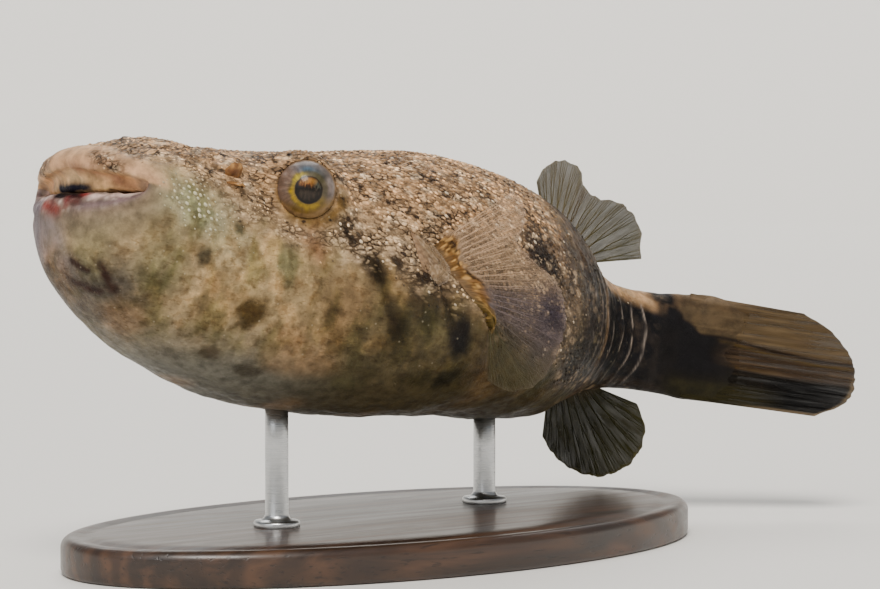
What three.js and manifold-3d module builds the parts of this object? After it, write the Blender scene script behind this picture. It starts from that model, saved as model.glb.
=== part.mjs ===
// A freshwater pufferfish as a life-size museum model on a plain display stand.
//
// The fish is shaped straight and level first, snout at x = 0 and tail towards +x, with its left
// side facing -y and z up. Its pieces are cut apart in that plain pose, then bent along the spine,
// rolled and pitched into the swimming pose and lifted onto the stand. Everything is in millimetres.

import * as THREE from 'three';
import Module from 'manifold-3d';

const wasm = await Module();
wasm.setup();
const { Manifold, Mesh: ManifoldMesh } = wasm;

// ---------------------------------------------------------------- driving sizes

const BODY_LENGTH = 100;        // snout to the root of the tail fin
const SEAM = 0.2;               // thin cut between neighbouring pieces of the body
const SKIN_GAP = 0.12;          // clearance between the body and what stands on it

const STEPS_PER_STATION = 2;    // rings made between one station and the next
const RING_SIDES = 36;          // facets around the body

const HEAD_END = 37;            // the gill opening
const BELLY_TOP = -7.5;         // height of the belly's upper edge
const BELLY_END = 76;
const TRUNK_END = 80;           // where the peduncle starts

const EYE_RADIUS = 3.4;
const EYE_AT = [22.85, 11.25, 6.95];
const EYE_CLEARANCE = 0.08;

const FIN_EDGE = 0.55;          // thickness of a fin at its free edge

const BASE_LENGTH = 84;
const BASE_WIDTH = 46;
const BASE_THICKNESS = 4;
const BASE_BEVEL = 0.8;
const ROD_RADIUS = 1.3;
const ROD_X = { front: -16, rear: 17 };
const ROD_Y = { front: 0, rear: 3 };

// The pose: the body turns about a point in its middle, held this high over the floor.
const PIVOT_X = 45;
const PIVOT_HEIGHT = 30;
const PITCH = 10.9;             // degrees, head up
const ROLL = -2.6;              // degrees, left side up
// Heading of the spine: place along the body, and degrees the rear is turned to the fish's left.
const BEND = [[0, 0], [27, 0], [47, -11], [67, -14], [77, -9], [84, 5], [90, 22], [100, 39], [120, 40]];

// Stations of the body, from deep in the mouth, out over the lips and back to the tail.
// Each ring runs over a point of the back, one of the side and one of the belly.
//   back x, z | side x, y, z | belly x, z | fullness above and below the side (2 is an ellipse)
const STATIONS = [
  [8.0, 3.5, 8.4, 4.2, 3.6, 8.0, 3.0, 2.0, 2.0],
  [4.4, 3.6, 5.8, 7.2, 3.7, 3.2, 2.8, 2.1, 2.1],
  [1.6, 3.5, 4.5, 9.2, 3.7, 0.4, 2.9, 2.3, 2.3],
  [0.9, 4.9, 4.0, 9.8, 4.2, -0.7, 2.1, 2.3, 2.3],
  [-0.4, 5.7, 3.2, 10.5, 4.2, -1.0, 0.7, 2.3, 2.2],
  [-0.2, 7.1, 3.9, 11.0, 4.0, -0.8, -1.0, 2.4, 2.2],
  [1.7, 8.6, 5.6, 11.4, 3.4, -0.3, -3.3, 2.5, 2.3],
  [5.4, 9.4, 9.0, 11.8, 2.6, 1.4, -6.2, 2.6, 2.4],
  [11.0, 10.1, 14.4, 12.2, 1.5, 5.8, -9.9, 2.7, 2.4],
  [18.8, 11.1, 21.3, 13.0, 0.4, 12.9, -13.4, 2.7, 2.4],
  [27.7, 12.5, 29.2, 14.0, -0.7, 22.8, -15.7, 2.6, 2.3],
  [36.6, 14.4, 37.6, 15.1, -1.1, 33.1, -16.0, 2.4, 2.3],
  [46.1, 16.1, 46.5, 15.7, -1.1, 44.1, -14.9, 2.2, 2.3],
  [55.4, 16.5, 55.4, 15.3, -0.7, 54.9, -13.3, 2.1, 2.3],
  [64.4, 16.2, 64.4, 14.0, -0.2, 64.4, -12.6, 2.0, 2.2],
  [72.3, 14.6, 72.3, 11.9, 0.3, 72.3, -11.4, 2.0, 2.1],
  [79.2, 11.2, 79.2, 9.2, 0.5, 79.2, -9.0, 2.0, 2.0],
  [84.7, 8.4, 84.7, 6.7, 0.5, 84.7, -6.8, 2.0, 2.0],
  [89.1, 7.2, 89.1, 4.9, 0.4, 89.1, -5.7, 2.0, 2.0],
  [94.1, 7.1, 94.1, 3.2, 0.2, 94.1, -5.5, 2.0, 2.0],
  [BODY_LENGTH, 7.6, BODY_LENGTH, 1.5, 0.0, BODY_LENGTH, -5.9, 2.0, 2.0],
];

// Soft swellings over the stations, the same on both sides: centre, reach in x, y, z, and lift.
const SWELLINGS = [
  { name: 'snout hump', at: [8.4, 0, 10.5], reach: [2.7, 7.0, 4.0], lift: 0.95 },
  { name: 'orbit', at: [22.7, 11.8, 7.2], reach: [4.2, 4.0, 4.2], lift: 0.9 },
  { name: 'brow', at: [23.4, 9.6, 10.4], reach: [2.9, 3.4, 2.4], lift: 1.3 },
  { name: 'gill cover', at: [34.5, 15.0, 1.5], reach: [3.6, 4.0, 6.5], lift: 0.5 },
];

// The lips are the front of the head inside this block, whose rear face is bowed in plan.
const LIP_BLOCK = { back: 3.3, bow: 0.03, top: 7.9, bottom: -1.7, halfWidth: 14, front: -4 };
const MOUTH_CORNER = { y: 7.2, z: 3.3, height: SEAM };

// Fins. Each has a line of roots on the skin and a fan of rays:
//   share of the root line | angle from the tail's direction, degrees up | length | sideways at the tip
const DORSAL = {
  roots: [[75.2, 0, 13.2], [83.5, 0, 9.1]], inside: 1.5, thickness: 1.4,
  rays: [[0, 116, 4.8, 0.2], [0.12, 95, 7.5, 0.6], [0.25, 80, 9.2, 0.8], [0.38, 71, 9.3, 0.2], [0.5, 73, 7.4, -0.8],
    [0.6, 60, 7.7, -0.9], [0.75, 47, 9.9, -0.2], [0.88, 34, 10.2, 0.5], [1, 13, 8.4, 0.6]],
};
const ANAL = {
  roots: [[79.8, 0, -8.7], [87.8, 0, -5.8]], inside: 1.2, thickness: 1.3,
  rays: [[0, -88, 4.2, 0.1], [0.12, -80, 6.3, 0.3], [0.28, -72, 8.5, 0.5], [0.45, -63, 10.6, 0.2], [0.6, -54, 11.2, -0.5],
    [0.75, -43, 10.6, -0.8], [0.88, -30, 8.8, -0.3], [1, -13, 5.4, 0.3]],
};
const PECTORAL = {
  roots: [[38.1, 14.7, 4.1], [46.2, 15.5, -3.2]], inside: 1.2, thickness: 1.7,
  rays: [[0, 45, 10.4, 2.6], [0.1, 39, 10.6, 3.0], [0.2, 36, 8.8, 3.4], [0.28, 33, 7.0, 3.2], [0.38, 20, 8.4, 3.3],
    [0.48, 10, 11.2, 3.6], [0.58, 3, 11.9, 3.7], [0.68, -5, 11.8, 3.6], [0.78, -17, 11.2, 3.2], [0.86, -32, 10.5, 2.8],
    [0.93, -56, 9.2, 2.2], [1, -98, 6.8, 1.4]],
};
const CAUDAL = {
  roots: [[BODY_LENGTH + SEAM, 0, 7.3], [BODY_LENGTH + SEAM, 0, -5.7]], inside: 0, thickness: 1.8,
  rays: [[0, -3, 12.4, 0], [0.14, -1, 15.6, 0.3], [0.28, -1, 17.7, 0.5], [0.42, -1, 19.1, 0.3], [0.57, -2, 19.6, -0.2],
    [0.72, -2, 19.4, -0.5], [0.87, -1, 18.2, -0.3], [1, -1, 15.0, 0]],
};
// The loose membrane over the gill opening, in front of each pectoral fin.
const GILL_FLAP = {
  roots: [[35.4, 14.8, 4.3], [37.2, 15.2, 0.2]], inside: 0.9, thickness: 0.9,
  rays: [[0, -20, 1.4, 0.6], [0.3, -18, 2.2, 1.0], [0.6, -14, 2.5, 1.1], [0.85, -20, 2.2, 0.8], [1, -45, 1.3, 0.3]],
};

// The nostril on each side is a pair of small flaps that lean apart.
const NOSTRIL = { at: [13.5, 10.7, 6.5], height: 1.2, width: 0.9, thickness: 0.32, spread: 34 };

// ---------------------------------------------------------------- small mathematics

const radians = THREE.MathUtils.degToRad;
const mix = (a, b, f) => a + (b - a) * f;
const mixPoint = (a, b, f) => a.map((v, k) => mix(v, b[k], f));

// Catmull-Rom blend of the rows of a table at a fractional row number.
function blendRows(rows, place) {
  const last = rows.length - 1;
  const i = Math.min(Math.floor(place), last - 1);
  const f = place - i;
  const before = i > 0 ? rows[i - 1] : rows[0].map((v, k) => 2 * v - rows[1][k]);
  const after = i + 2 <= last ? rows[i + 2] : rows[last].map((v, k) => 2 * v - rows[last - 1][k]);
  return rows[i].map((p1, k) => {
    const [p0, p2, p3] = [before[k], rows[i + 1][k], after[k]];
    return 0.5 * (2 * p1 + (p2 - p0) * f + (2 * p0 - 5 * p1 + 4 * p2 - p3) * f ** 2
      + (3 * p1 - p0 - 3 * p2 + p3) * f ** 3);
  });
}

// Smooth curve without overshoot through [x, y] knots.
function knotCurve(knots, x) {
  const slopes = knots.slice(1).map(([kx, ky], k) => (ky - knots[k][1]) / (kx - knots[k][0]));
  const tangent = (k) => {
    if (k === 0) return slopes[0];
    if (k === knots.length - 1) return slopes[k - 1];
    const [a, b] = [slopes[k - 1], slopes[k]];
    return a * b <= 0 ? 0 : (2 * a * b) / (a + b);
  };
  let i = 0;
  while (i < knots.length - 2 && x > knots[i + 1][0]) i += 1;
  const width = knots[i + 1][0] - knots[i][0];
  const f = THREE.MathUtils.clamp((x - knots[i][0]) / width, 0, 1);
  return knots[i][1] * (1 + 2 * f) * (1 - f) ** 2 + width * tangent(i) * f * (1 - f) ** 2
    + knots[i + 1][1] * f * f * (3 - 2 * f) + width * tangent(i + 1) * f * f * (f - 1);
}

// ---------------------------------------------------------------- the pose

// The spine in plan, in steps of a millimetre from SPINE_START.
const SPINE_START = -10;
const SPINE = [];
for (let x = SPINE_START, at = [SPINE_START, 0]; x <= 140; x += 1) {
  const turn = radians(knotCurve(BEND, THREE.MathUtils.clamp(x, 0, 120)));
  SPINE.push([at[0], at[1], turn]);
  at = [at[0] + Math.cos(turn), at[1] - Math.sin(turn)];
}

// A point of the straight fish, placed in the pose above the stand.
function pose([x, y, z]) {
  const place = x - SPINE_START;
  const i = Math.min(Math.floor(place), SPINE.length - 2);
  const [sx, sy, turn] = mixPoint(SPINE[i], SPINE[i + 1], place - i);
  const bent = [sx + y * Math.sin(turn), sy + y * Math.cos(turn), z];
  const [roll, pitch] = [radians(ROLL), radians(PITCH)];
  const side = bent[1] * Math.cos(roll) - bent[2] * Math.sin(roll);
  const up = bent[1] * Math.sin(roll) + bent[2] * Math.cos(roll);
  const along = bent[0] - PIVOT_X;
  return [along * Math.cos(pitch) + up * Math.sin(pitch), side,
    up * Math.cos(pitch) - along * Math.sin(pitch) + PIVOT_HEIGHT];
}

// ---------------------------------------------------------------- solids

// A closed solid from a grid of points whose rows are closed rings, capped at both ends.
function ringSolid(rings) {
  const sides = rings[0].length;
  const points = rings.flat();
  const faces = [];
  for (let i = 0; i + 1 < rings.length; i += 1) {
    for (let j = 0; j < sides; j += 1) {
      const [a, b] = [i * sides + j, i * sides + ((j + 1) % sides)];
      faces.push([a, a + sides, b], [b, a + sides, b + sides]);
    }
  }
  [[0, 1], [rings.length - 1, -1]].forEach(([i, way]) => {
    const centre = points.length;
    points.push(rings[i].reduce((sum, p) => sum.map((v, k) => v + p[k] / sides), [0, 0, 0]));
    for (let j = 0; j < sides; j += 1) {
      const [a, b] = [i * sides + j, i * sides + ((j + 1) % sides)];
      faces.push(way > 0 ? [centre, a, b] : [centre, b, a]);
    }
  });
  return solidOf(points, faces);
}

function solidOf(points, faces) {
  const build = (triangles) => new Manifold(new ManifoldMesh({
    numProp: 3, vertProperties: new Float32Array(points.flat()), triVerts: new Uint32Array(triangles.flat()),
  }));
  const solid = build(faces);
  return solid.volume() > 0 ? solid : build(faces.map(([a, b, c]) => [a, c, b]));
}

function solidOfGeometry(geometry, matrix = new THREE.Matrix4()) {
  const moved = geometry.clone().applyMatrix4(matrix);
  const place = moved.getAttribute('position');
  const [points, seen, corner] = [[], new Map(), []];
  for (let i = 0; i < place.count; i += 1) {
    const p = [place.getX(i), place.getY(i), place.getZ(i)];
    const key = p.map((v) => v.toFixed(5)).join();
    if (!seen.has(key)) { seen.set(key, points.length); points.push(p); }
    corner.push(seen.get(key));
  }
  const index = moved.index ? Array.from(moved.index.array) : corner.map((_, k) => k);
  const faces = [];
  for (let i = 0; i < index.length; i += 3) {
    const face = [0, 1, 2].map((k) => corner[index[i + k]]);
    if (new Set(face).size === 3) faces.push(face);
  }
  return solidOf(points, faces);
}

const box = (low, high) => Manifold.cube(high.map((v, k) => v - low[k])).translate(low);

// The same solid with every corner moved by a function of its place.
const reshaped = (solid, move) => solid.warp((point) => { [point[0], point[1], point[2]] = move([...point]); });

const posed = (solid) => reshaped(solid, pose);
const mirrored = (solid) => solid.mirror([0, 1, 0]);

// ---------------------------------------------------------------- the body

// How far the swellings push a point outwards.
function swell([x, y, z]) {
  return SWELLINGS.reduce((sum, { at, reach, lift }) => {
    const away = ((x - at[0]) / reach[0]) ** 2 + ((Math.abs(y) - at[1]) / reach[1]) ** 2 + ((z - at[2]) / reach[2]) ** 2;
    return sum + lift * Math.exp(-away);
  }, 0);
}

// A point of the skin at a fractional station and an angle, 0 on the back and 90 on the left side.
function skinPoint(station, angle, grow = 0) {
  const [backX, backZ, sideX, sideY, sideZ, bellyX, bellyZ, above, below] = blendRows(STATIONS, station);
  const [sine, cosine] = [Math.sin(radians(angle)), Math.cos(radians(angle))];
  const [midX, midZ, fullness] = cosine >= 0 ? [backX, backZ + grow, above] : [bellyX, bellyZ - grow, below];
  const point = [
    mix(midX, sideX, sine ** 2),
    -Math.sign(sine) * (sideY + grow) * Math.abs(sine) ** (2 / fullness),
    mix(sideZ, midZ, Math.abs(cosine) ** (2 / fullness)),
  ];
  const push = swell(point);
  const out = Math.hypot(point[1], point[2] - sideZ);
  return [point[0], point[1] * (1 + push / out), point[2] + ((point[2] - sideZ) * push) / out];
}

function bodySolid(grow = 0) {
  const rings = [];
  const count = (STATIONS.length - 1) * STEPS_PER_STATION;
  for (let i = 0; i <= count; i += 1) {
    const ring = [];
    for (let j = 0; j < RING_SIDES; j += 1) ring.push(skinPoint(i / STEPS_PER_STATION, (360 * j) / RING_SIDES, grow));
    rings.push(ring);
  }
  return ringSolid(rings);
}

// The block that holds the lips, a little smaller or larger for the two sides of the cut.
function lipBlock(shrink) {
  const { back, bow, top, bottom, halfWidth, front } = LIP_BLOCK;
  const outline = new THREE.Shape();
  outline.moveTo(front, -halfWidth);
  for (let k = -7; k <= 7; k += 1) {
    const y = (halfWidth * k) / 7;
    outline.lineTo(back + bow * y * y - shrink, y);
  }
  outline.lineTo(front, halfWidth);
  const depth = top - bottom - 2 * shrink;
  const geometry = new THREE.ExtrudeGeometry(outline, { depth, bevelEnabled: false });
  return solidOfGeometry(geometry.translate(0, 0, bottom + shrink));
}

function eyeBall(radius, side) {
  return Manifold.sphere(radius, 24).translate([EYE_AT[0], side * EYE_AT[1], EYE_AT[2]]);
}

function bodyPieces() {
  const sockets = [-1, 1].map((side) => eyeBall(EYE_RADIUS + EYE_CLEARANCE, side));
  const body = sockets.reduce((solid, socket) => solid.subtract(socket), bodySolid());
  const far = 200;
  const slice = (from, to) => body.intersect(box([from, -far, -far], [to, far, far]));
  const lips = body.intersect(lipBlock(SEAM));
  const corners = [-1, 1].reduce((cut, side) => {
    const y = [side * MOUTH_CORNER.y, side * far].sort((a, b) => a - b);
    return cut.add(box([-far, y[0], MOUTH_CORNER.z], [far, y[1], MOUTH_CORNER.z + MOUTH_CORNER.height]));
  }, box([far, far, far], [far + 1, far + 1, far + 1]));
  const [upper, lower] = lips.subtract(corners).decompose()
    .sort((a, b) => b.boundingBox().max[2] - a.boundingBox().max[2]);
  const trunk = slice(HEAD_END + SEAM, TRUNK_END);
  const under = box([0, -far, -far], [BELLY_END, far, BELLY_TOP]);
  const underAndSeam = box([0, -far, -far], [BELLY_END + SEAM, far, BELLY_TOP + SEAM]);
  return {
    upper_lip: upper,
    lower_lip: lower,
    head: slice(-far, HEAD_END).subtract(lipBlock(0)),
    trunk: trunk.subtract(underAndSeam),
    belly: trunk.intersect(under),
    peduncle: slice(TRUNK_END + SEAM, far),
  };
}

// ---------------------------------------------------------------- fins and flaps

// A point of a fin's middle sheet: share of the root line, and share of the ray's length.
function finPoint(fin, across, along) {
  const rows = fin.rays;
  let i = 0;
  while (i < rows.length - 2 && across > rows[i + 1][0]) i += 1;
  const place = i + (across - rows[i][0]) / (rows[i + 1][0] - rows[i][0]);
  const [, angle, length, sideways] = blendRows(rows, place);
  const root = mixPoint(fin.roots[0], fin.roots[1], across);
  const reach = mix(-fin.inside, length, along);
  return [
    root[0] + reach * Math.cos(radians(angle)),
    root[1] + sideways * Math.sign(reach) * Math.abs(reach / length) ** 1.3,
    root[2] + reach * Math.sin(radians(angle)),
  ];
}

// A fin is its middle sheet, thickened: stout at the root and thin at the free edge.
function finSolid(fin, acrossSteps, alongSteps) {
  const spot = (i, j) => new THREE.Vector3(...finPoint(fin, i / acrossSteps, j / alongSteps));
  const rings = [];
  for (let i = 0; i <= acrossSteps; i += 1) {
    const [near, farSide] = [[], []];
    for (let j = 0; j <= alongSteps; j += 1) {
      const acrossWay = spot(Math.min(i + 1, acrossSteps), j).sub(spot(Math.max(i - 1, 0), j));
      const alongWay = spot(i, Math.min(j + 1, alongSteps)).sub(spot(i, Math.max(j - 1, 0)));
      const normal = acrossWay.cross(alongWay).normalize();
      const thick = mix(fin.thickness, FIN_EDGE, Math.min(1, (j / alongSteps) ** 0.6 * 1.1));
      const [a, b] = [1, -1].map((way) => spot(i, j).addScaledVector(normal, (way * thick) / 2).toArray());
      near.push(a);
      farSide.unshift(b);
    }
    rings.push([...near, ...farSide]);
  }
  return ringSolid(rings);
}

// A nostril: two thin flaps on one root, in the fish's straight pose.
function nostrilSolid() {
  const { at, height, width, thickness, spread } = NOSTRIL;
  const flap = Manifold.sphere(1, 10).scale([width, thickness, height]).translate([0, 0, height * 0.55]);
  const root = Manifold.sphere(1, 10).scale([width * 0.95, width * 0.75, width * 0.8]);
  const pair = [-1, 1].reduce((sum, way) => sum.add(flap.rotate([way * spread, 0, 0])), root);
  const outward = THREE.MathUtils.radToDeg(Math.atan2(at[1], at[2] * 1.4));
  return pair.rotate([-outward, 0, 0]).translate(at);
}

// ---------------------------------------------------------------- the stand

function standBase() {
  const outline = new THREE.Shape();
  const edge = BASE_BEVEL;
  outline.absellipse(0, 0, BASE_LENGTH / 2 - edge, BASE_WIDTH / 2 - edge, 0, Math.PI * 2);
  return new THREE.ExtrudeGeometry(outline, {
    depth: BASE_THICKNESS - 2 * edge, bevelEnabled: true, bevelSize: edge, bevelThickness: edge, bevelSegments: 1,
    curveSegments: 20,
  }).translate(0, 0, edge);
}

// A rod stands on the base and is cut to the belly it carries.
function standRod(x, y, skin) {
  const height = PIVOT_HEIGHT - BASE_THICKNESS;
  const rod = Manifold.cylinder(height, ROD_RADIUS, ROD_RADIUS, 20).translate([x, y, BASE_THICKNESS]);
  return rod.subtract(skin);
}

// ---------------------------------------------------------------- the finished group

const material = (color, roughness, metalness = 0) => new THREE.MeshStandardMaterial({ color, roughness, metalness });
const MATERIALS = {
  skin_back: material(0x8f7458, 0.55),
  skin_belly: material(0xa99a86, 0.5),
  lips: material(0xb59478, 0.45),
  fin: material(0x6f655a, 0.4),
  fin_base: material(0xa9813f, 0.5),
  eye: material(0x2a3036, 0.08),
  stand_wood: material(0x2e1f16, 0.45),
  stand_steel: material(0xb8bcc0, 0.3, 0.9),
};

const fish = new THREE.Group();

function addMesh(name, geometry, materialName) {
  geometry.computeVertexNormals();
  const mesh = new THREE.Mesh(geometry, MATERIALS[materialName]);
  mesh.name = name;
  fish.add(mesh);
}

function addSolid(name, solid, materialName) {
  const { numProp, vertProperties, triVerts } = solid.getMesh();
  const geometry = new THREE.BufferGeometry();
  const positions = new Float32Array((vertProperties.length / numProp) * 3);
  for (let i = 0; i < positions.length; i += 1) {
    positions[i] = vertProperties[Math.floor(i / 3) * numProp + (i % 3)];
  }
  geometry.setAttribute('position', new THREE.BufferAttribute(positions, 3));
  geometry.setIndex(new THREE.BufferAttribute(new Uint32Array(triVerts), 1));
  addMesh(name, geometry, materialName);
}

const pieceMaterial = { upper_lip: 'lips', lower_lip: 'lips', belly: 'skin_belly' };
for (const [name, solid] of Object.entries(bodyPieces())) {
  addSolid(name, posed(solid), pieceMaterial[name] ?? 'skin_back');
}

// What stands on the skin is cut back to it, with a hair's clearance.
const posedSkin = posed(bodySolid(SKIN_GAP));
for (const [name, fin, across, along] of [
  ['dorsal_fin', DORSAL, 16, 5], ['anal_fin', ANAL, 14, 5], ['caudal_fin', CAUDAL, 14, 6],
]) {
  addSolid(name, posed(finSolid(fin, across, along)).subtract(posedSkin), 'fin');
}

for (const [side, name] of [[-1, 'left'], [1, 'right']]) {
  const sided = (solid) => (side < 0 ? mirrored(solid) : solid);
  addSolid(`eye_${name}`, posed(eyeBall(EYE_RADIUS, side)), 'eye');
  const pectoral = posed(sided(finSolid(PECTORAL, 18, 5))).subtract(posedSkin);
  addSolid(`pectoral_fin_${name}`, pectoral, 'fin');
  addSolid(`gill_flap_${name}`, posed(sided(finSolid(GILL_FLAP, 6, 3))).subtract(posedSkin), 'skin_belly');
  addSolid(`nostril_${name}`, posed(sided(nostrilSolid())).subtract(posedSkin), 'fin_base');
}

addMesh('stand_base', standBase(), 'stand_wood');
for (const end of ['front', 'rear']) {
  addSolid(`stand_rod_${end}`, standRod(ROD_X[end], ROD_Y[end], posedSkin), 'stand_steel');
}

export default fish;
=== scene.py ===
"""Looks of the freshwater pufferfish, a still life-size model on a plain display stand.

The fish is shaped straight and level in millimetres, snout at x = 0 and tail towards +x, with its
left side facing -y and z up. It is then bent along the spine, rolled and pitched above the stand.
Every mesh is in metres, with its place in its mesh.
"""

import math

import bpy
import numpy as np
from bpy.props import FloatProperty, FloatVectorProperty, IntProperty, PointerProperty
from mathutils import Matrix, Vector


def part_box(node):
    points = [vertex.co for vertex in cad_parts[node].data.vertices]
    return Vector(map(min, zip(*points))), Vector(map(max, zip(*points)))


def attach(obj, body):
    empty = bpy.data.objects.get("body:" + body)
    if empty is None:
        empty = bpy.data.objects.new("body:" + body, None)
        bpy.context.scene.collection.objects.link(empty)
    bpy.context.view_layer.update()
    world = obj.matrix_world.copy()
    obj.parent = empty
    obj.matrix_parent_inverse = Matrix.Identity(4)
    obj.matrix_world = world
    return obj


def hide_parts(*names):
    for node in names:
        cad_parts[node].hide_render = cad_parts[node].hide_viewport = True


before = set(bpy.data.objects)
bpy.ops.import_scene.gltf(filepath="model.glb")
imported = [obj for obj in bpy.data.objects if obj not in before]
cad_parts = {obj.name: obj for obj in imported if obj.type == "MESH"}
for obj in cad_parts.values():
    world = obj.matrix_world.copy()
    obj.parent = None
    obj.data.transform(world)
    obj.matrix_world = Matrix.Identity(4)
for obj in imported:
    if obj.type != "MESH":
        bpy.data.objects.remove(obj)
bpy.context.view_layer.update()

bl_info = {
    "name": "Freshwater pufferfish model",
    "version": (1, 0, 0),
    "blender": (4, 5, 0),
    "location": "3D View > Sidebar > Fish",
    "description": "Skin, bead coat, eyes, fins and stand of a life-size museum pufferfish",
    "category": "Add Mesh",
}

# ---------------------------------------------------------------- shape of the fish, in millimetres

MM = 0.001
BODY_LENGTH = 100.0

# Rows and sides of the skin, the eyes, the nostril flaps, the stand and the floor.
SKIN_ROWS, SKIN_SIDES = 399, 240
EYE_SIDES = 128
FLAP_ROWS, FLAP_SIDES = 16, 24
BASE_SIDES, ROD_SIDES, FLOOR_SIDES = 180, 40, 96

# Row number of the skin against the station it lies at: closest over the lips, eyes and rear folds.
ROW_PLACES = [(0, 0), (18, 2), (86, 6), (134, 8.15), (186, 9.75), (230, 12), (278, 15), (318, 17), (384, 20),
              (398, 22)]

EYE_RADIUS = 3.4
EYE_AT = np.array([22.85, 11.25, 6.95])        # right side; the left is mirrored
GAZE = np.array([-0.60, 0.79, -0.03])
ORBIT_AXIS = np.array([-0.50, 0.86, 0.05])
ORBIT_RIM = 3.2

PIVOT_X = 45.0
PIVOT_HEIGHT = 30.0
PITCH = math.radians(10.9)
ROLL = math.radians(-2.6)
BEND = [(0, 0), (27, 0), (47, -11), (67, -14), (77, -9), (84, 5), (90, 22), (100, 39), (120, 40)]

# back x, z | side x, y, z | belly x, z | fullness above and below the side
STATIONS = np.array([
    [8.0, 3.5, 8.4, 4.2, 3.6, 8.0, 3.0, 2.0, 2.0],
    [4.4, 3.6, 5.8, 7.2, 3.7, 3.2, 2.8, 2.1, 2.1],
    [1.6, 3.5, 4.5, 9.2, 3.7, 0.4, 2.9, 2.3, 2.3],
    [0.9, 4.9, 4.0, 9.8, 4.2, -0.7, 2.1, 2.3, 2.3],
    [-0.4, 5.7, 3.2, 10.5, 4.2, -1.0, 0.7, 2.3, 2.2],
    [-0.2, 7.1, 3.9, 11.0, 4.0, -0.8, -1.0, 2.4, 2.2],
    [1.7, 8.6, 5.6, 11.4, 3.4, -0.3, -3.3, 2.5, 2.3],
    [5.4, 9.4, 9.0, 11.8, 2.6, 1.4, -6.2, 2.6, 2.4],
    [11.0, 10.1, 14.4, 12.2, 1.5, 5.8, -9.9, 2.7, 2.4],
    [18.8, 11.1, 21.3, 13.0, 0.4, 12.9, -13.4, 2.7, 2.4],
    [27.7, 12.5, 29.2, 14.0, -0.7, 22.8, -15.7, 2.6, 2.3],
    [36.6, 14.4, 37.6, 15.1, -1.1, 33.1, -16.0, 2.4, 2.3],
    [46.1, 16.1, 46.5, 15.7, -1.1, 44.1, -14.9, 2.2, 2.3],
    [55.4, 16.5, 55.4, 15.3, -0.7, 54.9, -13.3, 2.1, 2.3],
    [64.4, 16.2, 64.4, 14.0, -0.2, 64.4, -12.6, 2.0, 2.2],
    [72.3, 14.6, 72.3, 11.9, 0.3, 72.3, -11.4, 2.0, 2.1],
    [79.2, 11.2, 79.2, 9.2, 0.5, 79.2, -9.0, 2.0, 2.0],
    [84.7, 8.4, 84.7, 6.7, 0.5, 84.7, -6.8, 2.0, 2.0],
    [89.1, 7.2, 89.1, 4.9, 0.4, 89.1, -5.7, 2.0, 2.0],
    [94.1, 7.1, 94.1, 3.2, 0.2, 94.1, -5.5, 2.0, 2.0],
    [BODY_LENGTH, 7.6, BODY_LENGTH, 1.5, 0.0, BODY_LENGTH, -5.9, 2.0, 2.0],
    [102.6, 7.2, 102.6, 0.7, 0.2, 102.6, -5.6, 2.0, 2.0],
    [104.4, 6.8, 104.4, 0.15, 0.3, 104.4, -5.3, 2.0, 2.0],
])

# Soft swellings on both sides: centre, reach, lift.
SWELLINGS = [
    ((8.4, 0, 10.5), (2.7, 7.0, 4.0), 0.95),
    ((22.7, 11.8, 7.2), (4.2, 4.0, 4.2), 0.9),
    ((23.4, 9.6, 10.4), (2.9, 3.4, 2.4), 1.3),
    ((34.5, 15.0, 1.5), (3.6, 4.0, 6.5), 0.5),
]

# Fins: root line, and rays as share of the root line, angle up from the tail's direction, length and
# sideways reach at the tip. Paired fins are given for the right side.
# pale: how much paler than the membrane the rays are painted, partly their own paler colour and partly painted
# light against the shade the membrane sheets cast on them
DORSAL = dict(
    roots=((75.2, 0, 13.2), (83.5, 0, 9.1)), inside=1.5, root_thick=1.2, pale=8.0, ray_count=13,
    ray_thick=0.15,
    rays=[(0, 116, 4.8, 0.2), (0.12, 95, 7.5, 0.6), (0.25, 80, 9.2, 0.8), (0.38, 71, 9.3, 0.2),
          (0.5, 73, 7.4, -0.8), (0.6, 60, 7.7, -0.9), (0.75, 47, 9.9, -0.2), (0.88, 34, 10.2, 0.5),
          (1, 13, 8.4, 0.6)])
ANAL = dict(
    roots=((79.8, 0, -8.7), (87.8, 0, -5.8)), inside=1.2, root_thick=1.0, pale=5.5, ray_count=11,
    ray_thick=0.14,
    rays=[(0, -88, 4.2, 0.1), (0.12, -80, 6.3, 0.3), (0.28, -72, 8.5, 0.5), (0.45, -63, 10.6, 0.2),
          (0.6, -54, 11.2, -0.5), (0.75, -43, 10.6, -0.8), (0.88, -30, 8.8, -0.3), (1, -13, 5.4, 0.3)])
PECTORAL = dict(
    roots=((38.1, 14.7, 4.1), (46.2, 15.5, -3.2)), inside=1.2, root_thick=0.7, flesh=1.0, ray_count=24,
    ray_thick=0.125,
    rays=[(0, 45, 10.4, 2.6), (0.1, 39, 10.6, 3.0), (0.2, 36, 8.8, 3.4), (0.28, 33, 7.0, 3.2),
          (0.38, 20, 8.4, 3.3), (0.48, 10, 11.2, 3.6), (0.58, 3, 11.9, 3.7), (0.68, -5, 11.8, 3.6),
          (0.78, -17, 11.2, 3.2), (0.86, -32, 10.5, 2.8), (0.93, -56, 9.2, 2.2), (1, -98, 6.8, 1.4)])
CAUDAL = dict(
    roots=((100.2, 0, 7.3), (100.2, 0, -5.7)), inside=2.0, root_thick=1.5, even=0.35, pale=1.15, ray_count=13,
    ray_thick=0.14,
    rays=[(0, -3, 12.4, 0), (0.14, -1, 15.6, 0.3), (0.28, -1, 17.7, 0.5), (0.42, -1, 19.1, 0.3),
          (0.57, -2, 19.6, -0.2), (0.72, -2, 19.4, -0.5), (0.87, -1, 18.2, -0.3), (1, -1, 15.0, 0)])
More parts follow.
